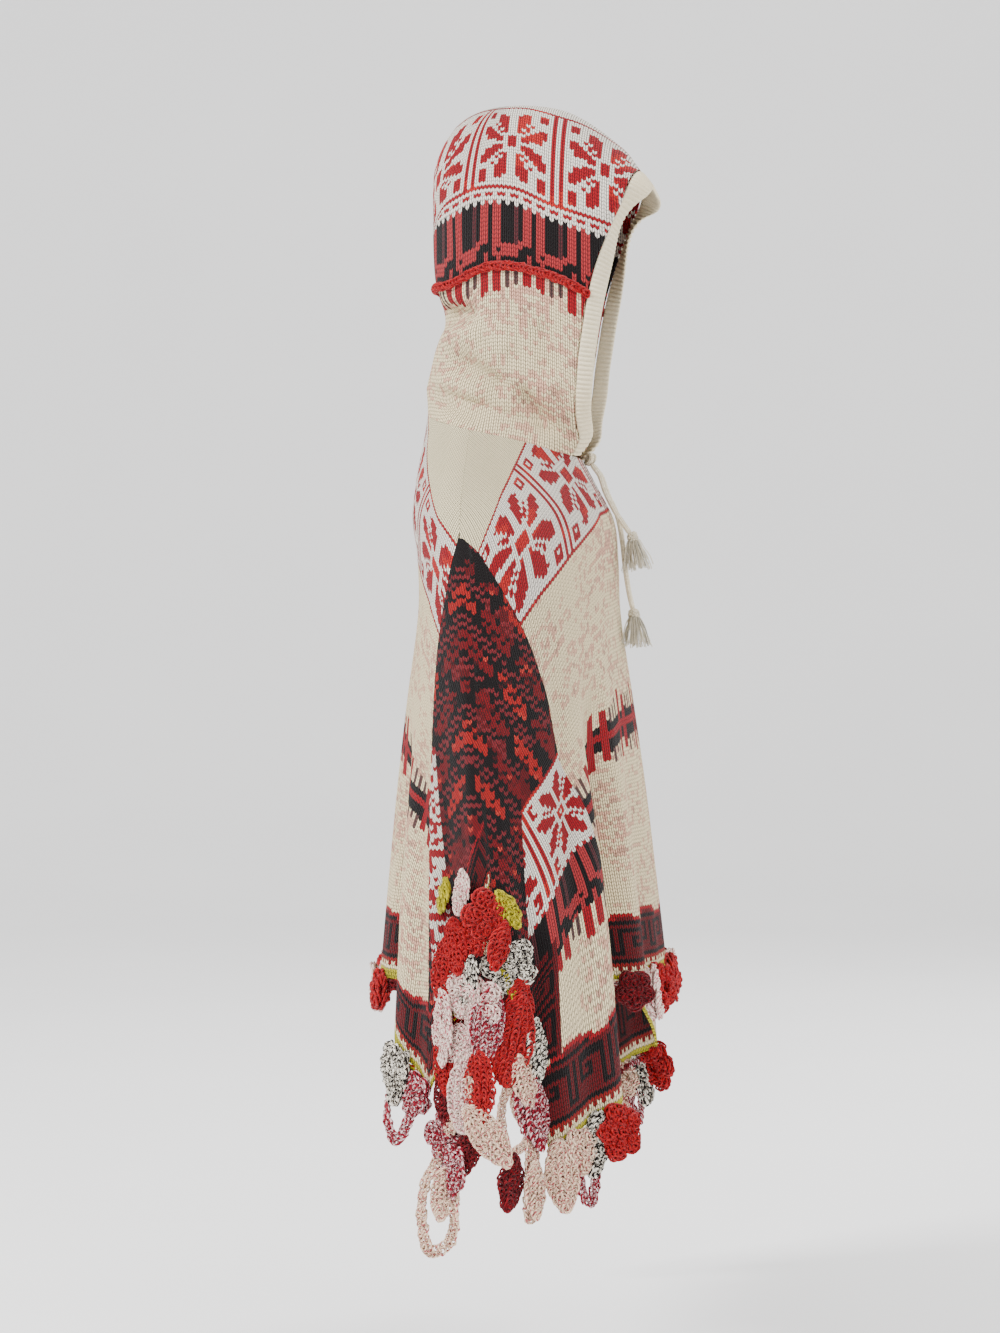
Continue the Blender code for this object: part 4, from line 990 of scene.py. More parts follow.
def hood_band(look):
    """The ribbed band: a rounded section swept round the face, swelling at each rib."""
    up = [(s, 1.0) for s in np.linspace(0.985, 0, 30)]
    over = [(0.0, t) for t in np.linspace(1, 0, 9)[1:]]
    route = [(s, t, RIGHT) for s, t in up + over] + [(s, t, LEFT) for s, t in (up + over)[-2::-1]]
    points = np.array([hood_point(s, t, side) for s, t, side in route])
    normals = np.array([hood_normal(s, t, side) for s, t, side in route])
    points, normals = resample(points, 0.003, normals)
    soften(points, 4)
    soften(normals, 24)
    forwards = soften(np.cross(np.gradient(points, axis=0), normals), 24)
    points, normals, forwards = resample(points, RIB_PITCH / RIB_SAMPLES, normals, forwards)
    normals, forwards = unit(normals), unit(forwards)
    count = len(points)
    share = np.linspace(0, 1, count)
    width = BAND_WIDTH + BAND_BRIM_EXTRA * np.sin(math.pi * share) ** 4
    rib = 0.5 + 0.5 * np.cos(2 * math.pi * np.arange(count) / RIB_SAMPLES)
    rib = rib**0.45
    turns = np.linspace(0, 2 * math.pi, 25)[:-1]
    across = 0.5 - 0.5 * np.sign(np.cos(turns)) * np.abs(np.cos(turns)) ** 0.55
    lift = np.sign(np.sin(turns)) * np.abs(np.sin(turns)) ** 0.6
    rings = []
    for k in range(len(turns)):
        swell = BAND_THICK / 2 + RIB_DEPTH * rib * (0.35 + 0.65 * abs(lift[k])) - RIB_DEPTH * 0.45
        reach = BAND_GAP + (width - BAND_GAP) * across[k]
        droop = BAND_DROOP * across[k] ** 2
        rings.append(points + forwards * reach[:, None] + normals * (lift[k] * swell - droop)[:, None])
    rings = np.stack(rings, axis=1)
    return tube_mesh("band_ribbed", rings, look)


def tube_faces(count, sides):
    """Faces of a tube of rings, with its two ends closed."""
    i = np.arange(count - 1)[:, None] * sides
    k = np.arange(sides)[None, :]
    j = (k + 1) % sides
    quads = np.stack([i + k, i + j, i + sides + j, i + sides + k], axis=-1).reshape(-1, 4)
    return quads.tolist() + [list(range(sides))[::-1], [(count - 1) * sides + a for a in range(sides)]]


def tube_mesh(name, rings, look, uv=None):
    """A closed tube from rings of points."""
    mesh = bpy.data.meshes.new(name)
    mesh.from_pydata(rings.reshape(-1, 3).tolist(), [], tube_faces(*rings.shape[:2]))
    mesh.materials.append(look)
    if uv is not None:
        set_uv(mesh, "yarn", uv.reshape(-1, 2))
    obj = add_object(name, mesh)
    work = bmesh.new()
    work.from_mesh(mesh)
    bmesh.ops.recalc_face_normals(work, faces=work.faces)
    work.to_mesh(mesh)
    work.free()
    smooth_faces(mesh)
    return obj


def rings_round(points, radius, turns):
    """Rings round a line, square to it and with little twist, of one radius or one for each point."""
    tangents = unit(np.gradient(points, axis=0))
    normals = np.empty_like(points)
    guide = np.array((0.0, 0.0, 1.0)) if abs(tangents[0][2]) < 0.9 else np.array((1.0, 0.0, 0.0))
    for i, tangent in enumerate(tangents):
        guide = guide - tangent * (guide @ tangent)
        guide = guide / np.linalg.norm(guide)
        normals[i] = guide
    thirds = np.cross(tangents, normals)
    radius = np.broadcast_to(radius, len(points))[:, None, None]
    cos, sin = np.cos(turns)[None, :, None], np.sin(turns)[None, :, None]
    return points[:, None] + radius * (cos * normals[:, None] + sin * thirds[:, None])


def round_tube(name, points, radius, look, sides=12, lumps=0.0, pitch=0.005):
    """A yarn or cord along points, with the yarn's UV in turns and diameters."""
    along = distances(points)
    turns = np.linspace(0, 2 * math.pi, sides, endpoint=False)
    swell = radius * (1 + lumps * np.sin(2 * math.pi * along / pitch))
    swell[0] *= 0.7
    swell[-1] *= 0.7
    uv = np.stack(np.broadcast_arrays(turns[None, :] / (2 * math.pi), along[:, None] / (2 * radius)), axis=-1)
    return tube_mesh(name, rings_round(points, swell, turns), look, uv)


LINK_SIDES = 4
LINK_TURNS = 8


def link_template():
    """One crochet stitch: a teardrop loop of yarn, one unit long, made from a torus."""
    deselect_all()
    bpy.ops.mesh.primitive_torus_add(
        major_segments=LINK_TURNS, minor_segments=LINK_SIDES, major_radius=0.5, minor_radius=0.19
    )
    obj = bpy.context.active_object
    points = np.array([v.co for v in obj.data.vertices])
    faces = np.array([p.vertices for p in obj.data.polygons])
    bpy.data.objects.remove(obj)
    along = points[:, 0].copy()
    points[:, 1] *= 0.72 * (1 - 0.45 * along)
    points[:, 2] = points[:, 2] * 0.95 + 0.16 * np.sin(along * 4.0)
    points[:, 0] *= 1.15
    index = np.arange(len(points))
    uv = np.stack([(index % LINK_SIDES) / LINK_SIDES, (index // LINK_SIDES) * 1.5 / LINK_TURNS], axis=1)
    return points, faces, uv


LINK = link_template()


class Yarnwork:
    """Gathers stitches and solid bases for one piece, then makes them one mesh."""

    def __init__(self, name, looks):
        self.name, self.looks = name, looks
        self.points, self.faces, self.uvs, self.marks = [], [], [], []
        self.count = 0
        self.random = random.Random(name)

    def put(self, points, faces, uv, look):
        """Any shape, its faces counted from its own first point."""
        self.points.append(points)
        self.faces.append((faces, self.count))
        self.uvs.append(uv)
        self.marks.append((look, len(faces)))
        self.count += len(points)

    def stitch(self, centre, forward, normal, size, look):
        """One link at a place, pointing forward, its flat side along the normal."""
        shape, faces, uv = LINK
        forward = forward - normal * (forward @ normal)
        forward = forward / max(np.linalg.norm(forward), 1e-9)
        side = np.cross(normal, forward)
        jitter = self.random
        scale = size * jitter.uniform(0.86, 1.24)
        lean = jitter.uniform(-0.38, 0.38)
        cos, sin = math.cos(lean), math.sin(lean)
        forward, side = forward * cos + side * sin, side * cos - forward * sin
        axes = np.stack([forward, side, normal])
        offset = np.array((jitter.uniform(0, 1), jitter.uniform(0, 9)))
        self.put(centre + (shape * scale) @ axes, faces, uv + offset, look)

    def chain(self, points, normals, size, look, overlap=0.66):
        """Stitches that follow one another along a line."""
        points, normals = resample(np.array(points), size * overlap, np.array(normals))
        tangents = np.gradient(points, axis=0)
        for point, tangent, normal in zip(points, tangents, normals):
            bob = self.random.uniform(-0.12, 0.24) * size
            self.stitch(point + unit(normal) * bob, tangent, unit(normal), size, look)

    def row(self, line, normal, lift, look, backed):
        """A chain on a motif's face, and one on its back where that shows."""
        self.chain(line, [normal] * len(line), STITCH_SIZE, look)
        if backed:
            behind = [point - normal * 2 * lift for point in line]
            self.chain(behind, [-normal] * len(line), STITCH_SIZE * 1.1, look)

    def made(self):
        verts = np.concatenate(self.points)
        faces, looks = [], []
        for (group, start), (look, count) in zip(self.faces, self.marks):
            faces += [[int(v) + start for v in face] for face in group]
            looks += [look] * count
        mesh = bpy.data.meshes.new(self.name)
        mesh.from_pydata(verts.tolist(), [], faces)
        for look in self.looks:
            mesh.materials.append(look)
        mesh.polygons.foreach_set("material_index", looks)
        smooth_faces(mesh)
        set_uv(mesh, "yarn", np.concatenate(self.uvs))
        mesh.update()
        return add_object(self.name, mesh)


MOTIF_LIFT = 0.0041
MOTIF_THICK = 0.0044
LAYER_STEP = 0.0014
MOTIF_CLEARANCE = 0.0022
HEM_CLEARANCE = 0.0024
HEM_OVERLAP = 0.005
SPINE_RADIUS = 0.0038
SPINE_LIFT = 0.0015
SLIT_SPINE_LIFT = 0.0050
STITCH_SIZE = 0.0072
LOOP_POINTS = 60
YARNS = ("red", "raspberry", "pale_pink", "marl", "maroon", "green", "pink_cream")
# Garland motifs below a hem: kind, station, radius or half length, spin in degrees, layer, yarn.
HEM_MOTIFS = {
    "front_hem": (
        ("ring", 0.058, 0.025, 10, 0, "red"),
        ("flower", 0.000, 0.020, 0, 0, "red"),
        ("leaf", 0.100, 0.025, 65, 0, "pale_pink"),
        ("leaf", 0.122, 0.025, 110, 1, "pale_pink"),
        ("flower", 0.148, 0.018, 20, 0, "maroon"),
    ),
    "front_flap": (
        ("flower", 0.268, 0.026, 0, 0, "red"),
        ("leaf", 0.302, 0.030, 80, 0, "marl"),
        ("flower", 0.335, 0.021, 15, 0, "pink_cream"),
        ("leaf", 0.366, 0.034, 95, 0, "pink_cream"),
    ),
    "back_flap": (
        ("flower", 0.660, 0.020, 0, 0, "raspberry"),
        ("leaf", 0.690, 0.024, 80, 1, "marl"),
        ("ring", 0.710, 0.020, 15, 0, "marl"),
    ),
    "back_hem": (
        ("flower", 0.835, 0.019, 0, 0, "red"),
        ("leaf", 0.885, 0.024, 75, 0, "pale_pink"),
        ("ring", 0.935, 0.023, 20, 0, "red"),
        ("flower", 1.000, 0.021, 0, 0, "raspberry"),
    ),
}
# Motifs in the slit: kind, station, height, radius or half length, spin in degrees, layer, yarn.
SLIT_MOTIFS = (
    ("flower", 0.490, -0.470, 0.024, 0, 1, "red"),
    ("flower", 0.535, -0.496, 0.024, 30, 0, "red"),
    ("flower", 0.452, -0.516, 0.026, 10, 0, "marl"),
    ("leaf", 0.440, -0.560, 0.030, 85, 0, "red"),
    ("flower", 0.547, -0.543, 0.024, 40, 1, "pale_pink"),
    ("flower", 0.508, -0.552, 0.024, 5, 0, "pale_pink"),
    ("leaf", 0.470, -0.590, 0.036, 80, 0, "red"),
    ("flower", 0.535, -0.595, 0.024, 25, 1, "pale_pink"),
    ("leaf", 0.584, -0.614, 0.030, 100, 0, "red"),
    ("leaf", 0.552, -0.650, 0.034, 60, 0, "pink_cream"),
    ("leaf", 0.434, -0.645, 0.034, 88, 0, "raspberry"),
    ("flower", 0.590, -0.680, 0.026, 0, 0, "raspberry"),
    ("leaf", 0.536, -0.690, 0.028, 70, 0, "maroon"),
)
# Smaller crocheted tongues and petals between them, in the same terms.
SLIT_FILLING = (
    ("leaf", 0.588, -0.525, 0.033, 88, 1, "red"),
    ("leaf", 0.520, -0.532, 0.024, 78, 2, "marl"),
    ("leaf", 0.574, -0.578, 0.037, 96, 2, "pale_pink"),
    ("leaf", 0.498, -0.572, 0.036, 84, 1, "raspberry"),
    ("leaf", 0.452, -0.588, 0.044, 78, 3, "red"),
    ("leaf", 0.440, -0.626, 0.024, 100, 3, "pink_cream"),
    ("leaf", 0.590, -0.640, 0.032, 90, 2, "maroon"),
    ("leaf", 0.540, -0.636, 0.040, 88, 3, "pale_pink"),
    ("leaf", 0.508, -0.632, 0.036, 92, 2, "red"),
    ("leaf", 0.500, -0.676, 0.034, 128, 3, "pink_cream"),
    ("flower", 0.562, -0.712, 0.024, 20, 3, "raspberry"),
    ("leaf", 0.420, -0.598, 0.030, 88, 2, "marl"),
    ("leaf", 0.421, -0.658, 0.035, 92, 1, "raspberry"),
    ("leaf", 0.570, -0.452, 0.017, 60, 2, "green"),
    ("leaf", 0.447, -0.465, 0.018, 120, 2, "green"),
    ("leaf", 0.520, -0.448, 0.020, 80, 2, "pale_pink"),
    ("leaf", 0.470, -0.720, 0.026, 80, 1, "maroon"),
    ("leaf", 0.602, -0.735, 0.024, 85, 3, "pink_cream"),
    ("leaf", 0.430, -0.728, 0.026, 85, 2, "pink_cream"),
    ("leaf", 0.545, -0.500, 0.026, 100, 3, "red"),
    ("leaf", 0.480, -0.500, 0.022, 70, 3, "red"),
)
# Hanging chains: run, yarn, then station and height of each turning point.
LOOPS = (
    ("slit", "pink_cream",
     ((0.600, -0.690), (0.632, -0.735), (0.622, -0.790), (0.590, -0.780), (0.572, -0.740), (0.585, -0.700))),
    ("slit", "pink_cream",
     ((0.425, -0.660), (0.432, -0.710), (0.436, -0.755), (0.425, -0.750), (0.418, -0.690))),
    ("slit", "raspberry",
     ((0.510, -0.565), (0.530, -0.610), (0.548, -0.645), (0.536, -0.680), (0.560, -0.690), (0.590, -0.680))),
    ("slit", "marl", ((0.462, -0.532), (0.478, -0.545), (0.500, -0.555))),
    ("front_flap", "raspberry", ((0.300, -0.715), (0.318, -0.745), (0.335, -0.735), (0.338, -0.708))),
    ("back_flap", "raspberry", ((0.665, -0.658), (0.690, -0.690), (0.715, -0.672), (0.735, -0.630))),
)
# Edging: run, first and last station.
SPINES = (
    ("front_flap", 0.254, 0.372),
    ("slit", 0.400, 0.452),
    ("slit", 0.510, 0.600),
    ("back_flap", 0.645, 0.705),
    ("front_hem", 0.000, 0.160),
    ("back_hem", 0.810, 1.000),
)


def motif_frame(kind, station, height, size, spin, layer, side):
    """Where a motif lies: its centre, the directions across and along it, and its normal."""
    reach = motif_reach(kind, size)
    level = float(hem_height(station)) - size if height is None else height
    normal = cloth_normal(station, level, side)
    up = unit(np.array((0, 0, 1.0)) - normal * normal[2])
    right = np.cross(up, normal)
    turn = math.radians(spin)
    across = right * math.cos(turn) + up * math.sin(turn)
    along = np.cross(normal, across)
    round_it = cloth(station + STEP, level, side) - cloth(station - STEP, level, side)
    per_metre = 2 * STEP / np.linalg.norm(round_it) * math.copysign(1, right @ round_it)
    flat = [across * a + along * b for a, b in reach]
    beside = np.array([station + (p @ right) * per_metre for p in flat])
    if height is None:
        level = min(float(hem_height(s)) - p[2] for s, p in zip(beside, flat)) + HEM_OVERLAP
    middle = cloth(station, level, side)
    lift = MOTIF_LIFT
    for share in (1.0, 0.7, 0.4):
        for p in flat:
            spot = p * share
            s = station + (spot @ right) * per_metre
            if level + spot[2] > hem_height(s) - HEM_CLEARANCE:
                under = (cloth(s, level + spot[2], side) - middle - spot) @ normal
                lift = max(lift, under + WALL / 2 + MOTIF_THICK / 2 + MOTIF_CLEARANCE)
    return middle + normal * (lift + layer * LAYER_STEP), across, along, normal


def motif_reach(kind, size):
    """A motif's outline, as places across and along it."""
    if kind == "leaf":
        turns = [2 * math.pi * i / 8 for i in range(8)]
        return [(size * math.cos(a), size * 0.46 * math.sin(a) * (0.75 + 0.25 * math.cos(a))) for a in turns]
    turns = [(2 * math.pi * i / 15, size * (0.74, 1.0, 0.97)[i % 3]) for i in range(15)]
    return [(reach * math.cos(a), reach * math.sin(a)) for a, reach in turns]


def pad(work, centre, across, along, normal, outline, hole, look):
    """The dense middle of a motif, under its stitches: a domed disc or ring with lumps."""
    count = len(outline)
    rings = (1.0, 0.82, 0.5, 0.0) if not hole else (1.0, 0.85, 0.6, hole)
    points, uv = [], []
    for layer in (1, -1):
        for r in rings:
            dome = 0.0022 * (1 - r * r)
            if hole:
                dome = 0.0012 * math.sin(math.pi * (1 - r) / (1 - hole + 1e-6))
            for i, (a, b) in enumerate(outline):
                lump = 0.0005 * math.sin(5 * i + 7 * r)
                edge = 0.35 if r in (1.0, hole) else 1.0
                lift = layer * (0.0016 * edge + dome * edge + lump)
                points.append(centre + (across * a + along * b) * r * 0.93 + normal * lift)
                uv.append((i / count * 6, r * 4))
    faces = []
    levels = len(rings)
    for layer in (0, 1):
        for k in range(levels - 1):
            a = (layer * levels + k) * count
            for i in range(count):
                j = (i + 1) % count
                quad = [a + i, a + j, a + count + j, a + count + i]
                faces.append(quad if layer == 0 else quad[::-1])
    for k in (0, levels - 1) if hole else (0,):
        for i in range(count):
            j = (i + 1) % count
            a, b = k * count, levels * count + k * count
            quad = [a + i, b + i, b + j, a + j]
            faces.append(quad if k == 0 else quad[::-1])
    work.put(np.array(points), faces, np.array(uv), look)


def flower_work(work, centre, across, along, normal, size, hole, look, backed):
    """A crocheted flower: five petals of curved stitch rows round a small wheel."""
    outline = motif_reach("flower", size)
    pad(work, centre, across, along, normal, outline, 0.36 if hole else 0.0, look)
    petals = 5
    for p in range(petals):
        lean = 2 * math.pi * (p + 0.45) / petals
        root = across * math.cos(lean) + along * math.sin(lean)
        side = np.cross(normal, root)
        middle = centre + root * size * 0.62
        for radius, lift, start in ((0.34, 0.0022, 2.35), (0.17, 0.0042, 2.9)):
            turns = np.linspace(-start, start, 14)
            cup = 0.0016 * np.cos(turns * 0.5)
            outs = [(root * math.cos(a) * 1.05 + side * math.sin(a)) * size * radius for a in turns]
            line = [middle + out + normal * (lift - c) for out, c in zip(outs, cup)]
            work.row(line, normal, lift, look, backed)
    wheel = 0.42 if hole else 0.17
    turns = np.linspace(0, 2 * math.pi, 15)
    outs = [(across * math.cos(a) + along * math.sin(a)) * size * wheel for a in turns]
    line = [centre + out + normal * 0.0044 for out in outs]
    work.chain(line, [normal] * len(line), STITCH_SIZE * 0.9, look)
    if not hole:
        work.stitch(centre + normal * 0.0058, across, normal, STITCH_SIZE * 0.8, look)


def leaf_work(work, centre, across, along, normal, size, look, backed):
    """A crocheted leaf: rows of stitches that curve from its root to its tip, and a middle rib."""
    outline = motif_reach("leaf", size)
    fine = []
    for (a0, b0), (a1, b1) in zip(outline, outline[1:] + outline[:1]):
        fine += [(a0, b0), ((a0 + a1) / 2 * 1.04, (b0 + b1) / 2 * 1.08)]
    pad(work, centre, across, along, normal, fine, 0.0, look)
    for share in (-0.92, -0.46, 0.0, 0.46, 0.92):
        turns = np.linspace(0.06, 0.94, 16)
        width = size * 0.42 * share * np.sin(math.pi * turns) ** 0.8
        lift = 0.0046 - 0.0024 * abs(share)
        places = [across * size * (2 * t - 1) + along * w for t, w in zip(turns, width)]
        line = [centre + spot + normal * lift for spot in places]
        work.row(line, normal, lift, look, backed)


def edge_line(run, first, last, side):
    """The edging's line below the hem, and the normals along it."""
    stations = np.linspace(first, last, 160)
    height = hem_height(stations)
    edge = cloth(stations, height, side)
    normals = cloth_normal(stations, height, np.full(stations.shape, side))
    tangent = np.gradient(edge, axis=0)
    away = unit(np.cross(tangent, normals))
    away *= np.where(away[:, 2] > 0, -1.0, 1.0)[:, None]
    lift = SLIT_SPINE_LIFT if run == "slit" else SPINE_LIFT
    return edge + away * (SPINE_RADIUS + HEM_CLEARANCE) + normals * lift, normals, away


def add_run(work, run, side):
    """One side's share of a run: edging, motifs and chains."""
    for spine_run, first, last in SPINES:
        if spine_run != run:
            continue
        line, normals, away = edge_line(run, first, last, side)
        pieces = 3 if last - first > 0.08 else 2
        for k, part in enumerate(np.array_split(np.arange(len(line)), pieces)):
            part = np.arange(part[0], min(part[-1] + 2, len(line)))
            look = YARNS.index(("maroon", "green", "red", "raspberry")[(k + len(run)) % 4])
            for shift, lift in ((-0.0018, 0.0012), (0.0022, 0.0020), (0.0004, -0.0024)):
                rows = line[part] + away[part] * shift + normals[part] * lift
                work.chain(rows, normals[part], STITCH_SIZE * 0.95, look)
    if run == "slit":
        rows = SLIT_MOTIFS + SLIT_FILLING
    else:
        rows = [(kind, station, None, *rest) for kind, station, *rest in HEM_MOTIFS[run]]
    for kind, station, height, size, spin, layer, yarn in rows:
        if station in (0.0, 1.0) and side == LEFT:
            continue
        place = motif_frame(kind, station, height, size, spin, layer, side)
        if kind == "leaf":
            leaf_work(work, *place, size, YARNS.index(yarn), run != "slit")
        else:
            flower_work(work, *place, size, kind == "ring", YARNS.index(yarn), run != "slit")
    for loop_run, yarn, turns in LOOPS:
        if loop_run != run:
            continue
        turning = np.array([cloth(s, h, side) + cloth_normal(s, h, side) * MOTIF_LIFT for s, h in turns])
        facing = np.array([cloth_normal(s, h, side) for s, h in turns])
        along = distances(turning)
        line = smooth_line(turning, LOOP_POINTS)
        normals = between_points(np.linspace(0, along[-1], LOOP_POINTS), along, facing)
        for shift in (-0.0024, 0.0024):
            sideways = unit(np.cross(np.gradient(line, axis=0), normals))
            work.chain(line + sideways * shift, normals, STITCH_SIZE, YARNS.index(yarn))


def garlands():
    """One piece for each garland node."""
    made = []
    for side, label in SIDES:
        for run in ("front_flap", "slit", "back_flap"):
            work = Yarnwork(f"crochet_{run}_{label}", YARN_LOOKS)
            add_run(work, run, side)
            made.append((work.made(), f"garland_{run}_{label}"))
    for run in ("front_hem", "back_hem"):
        work = Yarnwork(f"crochet_{run}", YARN_LOOKS)
        for side, _ in SIDES:
            add_run(work, run, side)
        made.append((work.made(), f"garland_{run}"))
    return made


CHAIN_LIFT = 0.0020
CHAIN_STITCH = 0.0068
CHAIN_OVERLAP = 0.60
HALVINGS = 22  # of the search for the chain's line at each step


def chain_across_hood(look):
    """The raised red chain that joins the crown to the lower hood."""
    sides = []
    for side in (RIGHT, LEFT):
        line = []
        for t in np.linspace(0.99, 0.0, 40):
            low, high = 0.10, 0.98
            for _ in range(HALVINGS):
                s = (low + high) / 2
                point = hood_point(s, t, side)
                low, high = (s, high) if point[2] > smooth(CHAIN_LINE, point[0]) else (low, s)
            normal = hood_normal(s, t, side)
            line.append((point + normal * (WALL / 2 + CHAIN_LIFT), normal))
        sides.append(line)
    route = sides[0] + sides[1][-2::-1]
    points = np.array([p for p, _ in route])
    normals = np.array([n for _, n in route])
    work = Yarnwork("chain_on_hood", [look])
    across = unit(np.cross(np.gradient(points, axis=0), normals))
    for shift, lift in ((-0.0013, 0.0), (0.0013, 0.0), (0.0, 0.0014)):
        work.chain(points + across * shift + normals * lift, normals, CHAIN_STITCH, 0, CHAIN_OVERLAP)
    return work.made()


CORD_RADIUS = 0.0027
KNOT_HEIGHT = -0.0185
KNOT_RADII = np.array((0.0065, 0.0100, 0.0070))
CORD_STUB = 0.004
CORD_ROUTES = {
    "drawstring_right": (
        (0.45, -0.45, -0.77),
        (
            (0.0850, -0.0090, -0.0330), (0.0910, -0.0115, -0.0500), (0.1010, -0.0105, -0.0700),
            (0.1095, -0.0085, -0.0830), (0.1160, -0.0060, -0.0930),
        ),
    ),
    "drawstring_left": (
        (0.45, 0.45, -0.77),
        (
            (0.0850, 0.0080, -0.0330), (0.0910, 0.0095, -0.0500), (0.1020, 0.0085, -0.0750),
            (0.1070, 0.0070, -0.1000), (0.1105, 0.0055, -0.1300), (0.1145, 0.0040, -0.1550),
            (0.1185, 0.0030, -0.1720),
        ),
    ),
}
TASSEL_HEAD = 0.0055
TASSEL_LENGTH = 0.031
TASSEL_STITCH = 0.0042
TASSEL_STRANDS = 64
STRAND_RADIUS = 0.00062


def knot_centre():
    """The middle of the drawstring's knot, which rests on the front panel."""
    normal = cloth_normal(0.0, KNOT_HEIGHT, LEFT) * (1, 0, 1)
    return cloth(0.0, KNOT_HEIGHT, LEFT) + normal * (WALL / 2 + SEAM + KNOT_RADII[0])


def cord_route(direction, route):
    """A cord's line from its exit on the knot down to its tassel."""
    direction = unit(np.array(direction))
    normal = unit(direction / KNOT_RADII)
    start = knot_centre() + KNOT_RADII * direction + normal * SEAM
    return smooth_line([start, start + normal * CORD_STUB, *route], 60)


def knot_piece(look):
    """The overhand knot: two turns of cord wound about each other."""
    centre = knot_centre()
    turns = np.linspace(0, 4 * math.pi, 90)
    line = np.stack(
        [
            0.0036 * np.cos(turns) * (1 + 0.25 * np.cos(turns / 2)),
            0.0066 * np.sin(turns * 0.75),
            0.0040 * np.sin(turns + 0.5),
        ],
        axis=1,
    )
    return round_tube("drawstring_bow", centre + line, CORD_RADIUS, look, 10, 0.04, 0.002)


def tassel_piece(name, cord, looks):
    """A wrapped head and a flared skirt of many yarn ends, a few of them dark at the tip."""
    rng = random.Random(name)
    heading = unit(cord[-1] - cord[-2])
    centre = cord[-1] + heading * (TASSEL_HEAD + SEAM)
    work = Yarnwork(name, looks)
    down = unit(heading * 0.35 + np.array((0, 0, -1.0)))
    side = unit(np.cross(down, (0.0, 1.0, 0.0)))
    third = np.cross(down, side)
    for ring in np.linspace(-0.8, 0.9, 6):
        reach = TASSEL_HEAD * math.sqrt(max(0.12, 1 - ring * ring * 0.9)) * 0.80
        for i in range(9):
            a = 2 * math.pi * (i + ring) / 9
            out = side * math.cos(a) + third * math.sin(a)
            place = centre + down * ring * TASSEL_HEAD * 0.9 + out * reach
            work.stitch(place, np.cross(out, down), out, TASSEL_STITCH, 0)
    for i in range(TASSEL_STRANDS):
        a = i * math.pi * (3 - math.sqrt(5))
        spread = 0.42 * math.sqrt((i + 0.5) / TASSEL_STRANDS) * rng.uniform(0.8, 1.15)
        out = side * math.cos(a) + third * math.sin(a)
        length = TASSEL_LENGTH * rng.uniform(0.78, 1.05)
        steps = np.linspace(0, 1, 7)[:, None]
        wave = 0.0008 * np.sin(steps * rng.uniform(5, 9) + rng.uniform(0, 6))
        line = centre + down * (TASSEL_HEAD * 0.5 + length * steps)
        line = line + out * (spread * 0.014 + spread * length * steps**0.8 + wave) + third * wave
        strand(work, line, STRAND_RADIUS, 1 if rng.random() < 0.06 else 0)
    return work.made()


def strand(work, line, radius, look):
    """A thin yarn end of three sides."""
    rings = rings_round(line, radius, np.linspace(0, 2 * math.pi, 3, endpoint=False))
    count = len(line)
    uv = np.stack(np.broadcast_arrays(np.arange(3)[None, :] / 3, np.arange(count)[:, None] * 2.0), axis=-1)
    work.put(rings.reshape(-1, 3), tube_faces(count, 3), uv.reshape(-1, 2), look)


def declare(obj, slot, *nodes):
    """Makes a piece ride the one body and hides the nodes it replaces; its slot is not used."""
    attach(obj, "root")
    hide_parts(*nodes)


def declare_sheet(obj, slot, *nodes, flat):
    declare(obj, slot, *nodes)


FLOOR_Z = -0.95
FLOOR_SIZE = 22
FLOOR_START = -10
WALL_AWAY = 5.0
WALL_BEND = 2.5  # radius of the turn from floor to wall


def backdrop():
    """A pale floor that curves up into a wall."""
    made, n, shader = new_material("pale_plaster", 0.9, 0.0)
    place = object_place(n)
    colour = n.mix(n.noise(place, 1.5, 4.0), srgb(246, 246, 246), srgb(238, 238, 239))
    n.feed(shader.inputs["Base Color"], colour)
    deselect_all()
    bpy.ops.mesh.primitive_grid_add(x_subdivisions=40, y_subdivisions=60, size=1.0)
    obj = bpy.context.active_object
    obj.name = "floor"
    for vertex in obj.data.vertices:
        x, along = vertex.co.x * FLOOR_SIZE, (vertex.co.y + 0.5) * FLOOR_SIZE + FLOOR_START
        past = along - WALL_AWAY
        angle = min(max(past / WALL_BEND, 0.0), math.pi / 2)
        y = min(along, WALL_AWAY) + WALL_BEND * math.sin(angle)
        z = FLOOR_Z + WALL_BEND * (1 - math.cos(angle)) + max(past - WALL_BEND * math.pi / 2, 0.0)
        vertex.co = (x, y, z)
        vertex.co = Matrix.Rotation(math.radians(CAMERA_TURN), 3, "Z") @ vertex.co
    smooth_faces(obj.data)
    obj.data.materials.append(made)


# Lamps: name, place, size, power.
LAMPS = (
    ("key", (-2.5, -1.9, 2.4), 1.0, 260),
    ("fill", (2.6, -2.2, 0.8), 2.4, 70),
    ("rear", (1.8, 2.6, 1.8), 1.6, 90),
)
WORLD_STRENGTH = 1.45


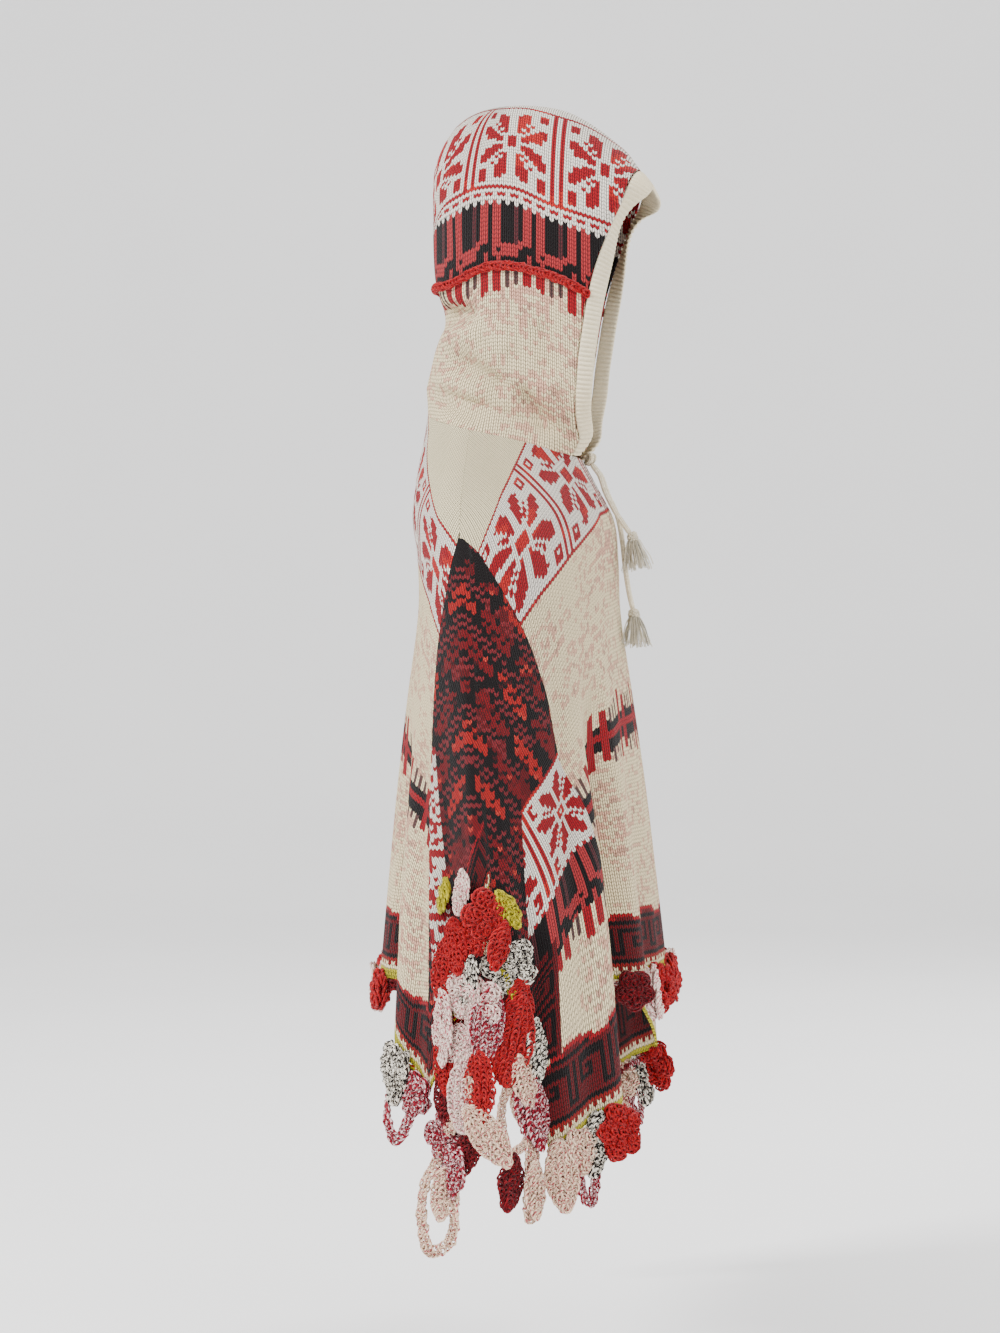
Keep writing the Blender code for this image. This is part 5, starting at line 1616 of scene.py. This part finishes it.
def camera_and_light():
    """The photograph's camera, a pale world and the lamps."""
    turn = math.radians(CAMERA_TURN)
    forward = Vector((-math.sin(turn), math.cos(turn), 0))
    right = Vector((math.cos(turn), math.sin(turn), 0))
    camera_data = bpy.data.cameras.new("camera")
    camera_data.lens = CAMERA_LENS
    camera = add_object("camera", camera_data)
    camera.location = right * CAMERA_SIDE - forward * CAMERA_DISTANCE + Vector((0, 0, CAMERA_HEIGHT))
    camera.rotation_euler = (math.pi / 2, 0, turn)
    bpy.context.scene.camera = camera
    world = bpy.data.worlds.new("soft_studio")
    world.use_nodes = True
    world.node_tree.nodes["Background"].inputs[0].default_value = (1.0, 0.99, 0.98, 1.0)
    world.node_tree.nodes["Background"].inputs[1].default_value = WORLD_STRENGTH
    bpy.context.scene.world = world
    for name, place, size, power in LAMPS:
        data = bpy.data.lights.new(name, "AREA")
        data.size = size
        data.energy = power
        lamp = add_object(name, data)
        lamp.location = place
        lamp.rotation_euler = (Vector((0, 0, -0.2)) - Vector(place)).to_track_quat("-Z", "Y").to_euler()


camera_and_light()
backdrop()
PANEL = panel_knit()
SIDE = side_knit()
HOOD = hood_knit()
RIB = rib_material()
CORD = cord_material()
YARN_LOOKS = [
    yarn_material("yarn_red", srgb(148, 8, 20), srgb(176, 24, 26), 0.55),
    yarn_material("yarn_raspberry", srgb(130, 10, 34), srgb(226, 190, 190), 0.66),
    yarn_material("yarn_pale_pink", srgb(236, 212, 200), srgb(196, 112, 120), 0.74),
    yarn_material("yarn_marl", srgb(236, 228, 212), srgb(24, 16, 16), 0.54),
    yarn_material("yarn_maroon", srgb(84, 4, 14), srgb(122, 8, 20), 0.55),
    yarn_material("yarn_green", srgb(190, 178, 30), srgb(140, 130, 16), 0.60),
    yarn_material("yarn_pink_cream", srgb(234, 204, 176), srgb(182, 92, 96), 0.76),
]
CREAM_YARN = yarn_material("yarn_cream", srgb(250, 242, 220), srgb(238, 224, 194), 0.5)

# Flat sizes are greatest widths round the body and longest runs down, without seam allowances.
# The hood's are the two lengths of its map, which is rougher.
front = panel_shell("front_cloth", FRONT_SEAM, 0.0, PANEL)
declare_sheet(front, "cream_knit", "front_panel", flat=(0.54, 0.66))
back = panel_shell("back_cloth", BACK_SEAM, 1.0, PANEL)
declare_sheet(back, "cream_knit", "back_panel", flat=(0.62, 0.70))
for side, label in SIDES:
    panel = side_shell(f"side_cloth_{label}", side, SIDE)
    declare_sheet(panel, "dark_knit", f"side_panel_{label}", flat=(0.29, 0.60))
    half = hood_shell(f"hood_cloth_{label}", side, HOOD)
    declare_sheet(half, "cream_knit", f"hood_{label}", flat=(0.27, 0.40))

declare(hood_band(RIB), "cream_rib", "hood_band")
declare(chain_across_hood(YARN_LOOKS[0]), "red_yarn", "hood_chain")
declare(knot_piece(CORD), "cream_cord", "drawstring_knot")
for name, (direction, route) in CORD_ROUTES.items():
    line = cord_route(direction, route)
    cord = round_tube(name.replace("drawstring", "cord"), line, CORD_RADIUS, CORD)
    tassel = tassel_piece(name.replace("drawstring", "tassel_ends"), line, [CREAM_YARN, YARN_LOOKS[3]])
    declare(cord, "cream_cord", name)
    declare(tassel, "cream_cord", name.replace("drawstring", "tassel"))
for piece, node in garlands():
    declare(piece, "garland_yarn", node)

deselect_all()
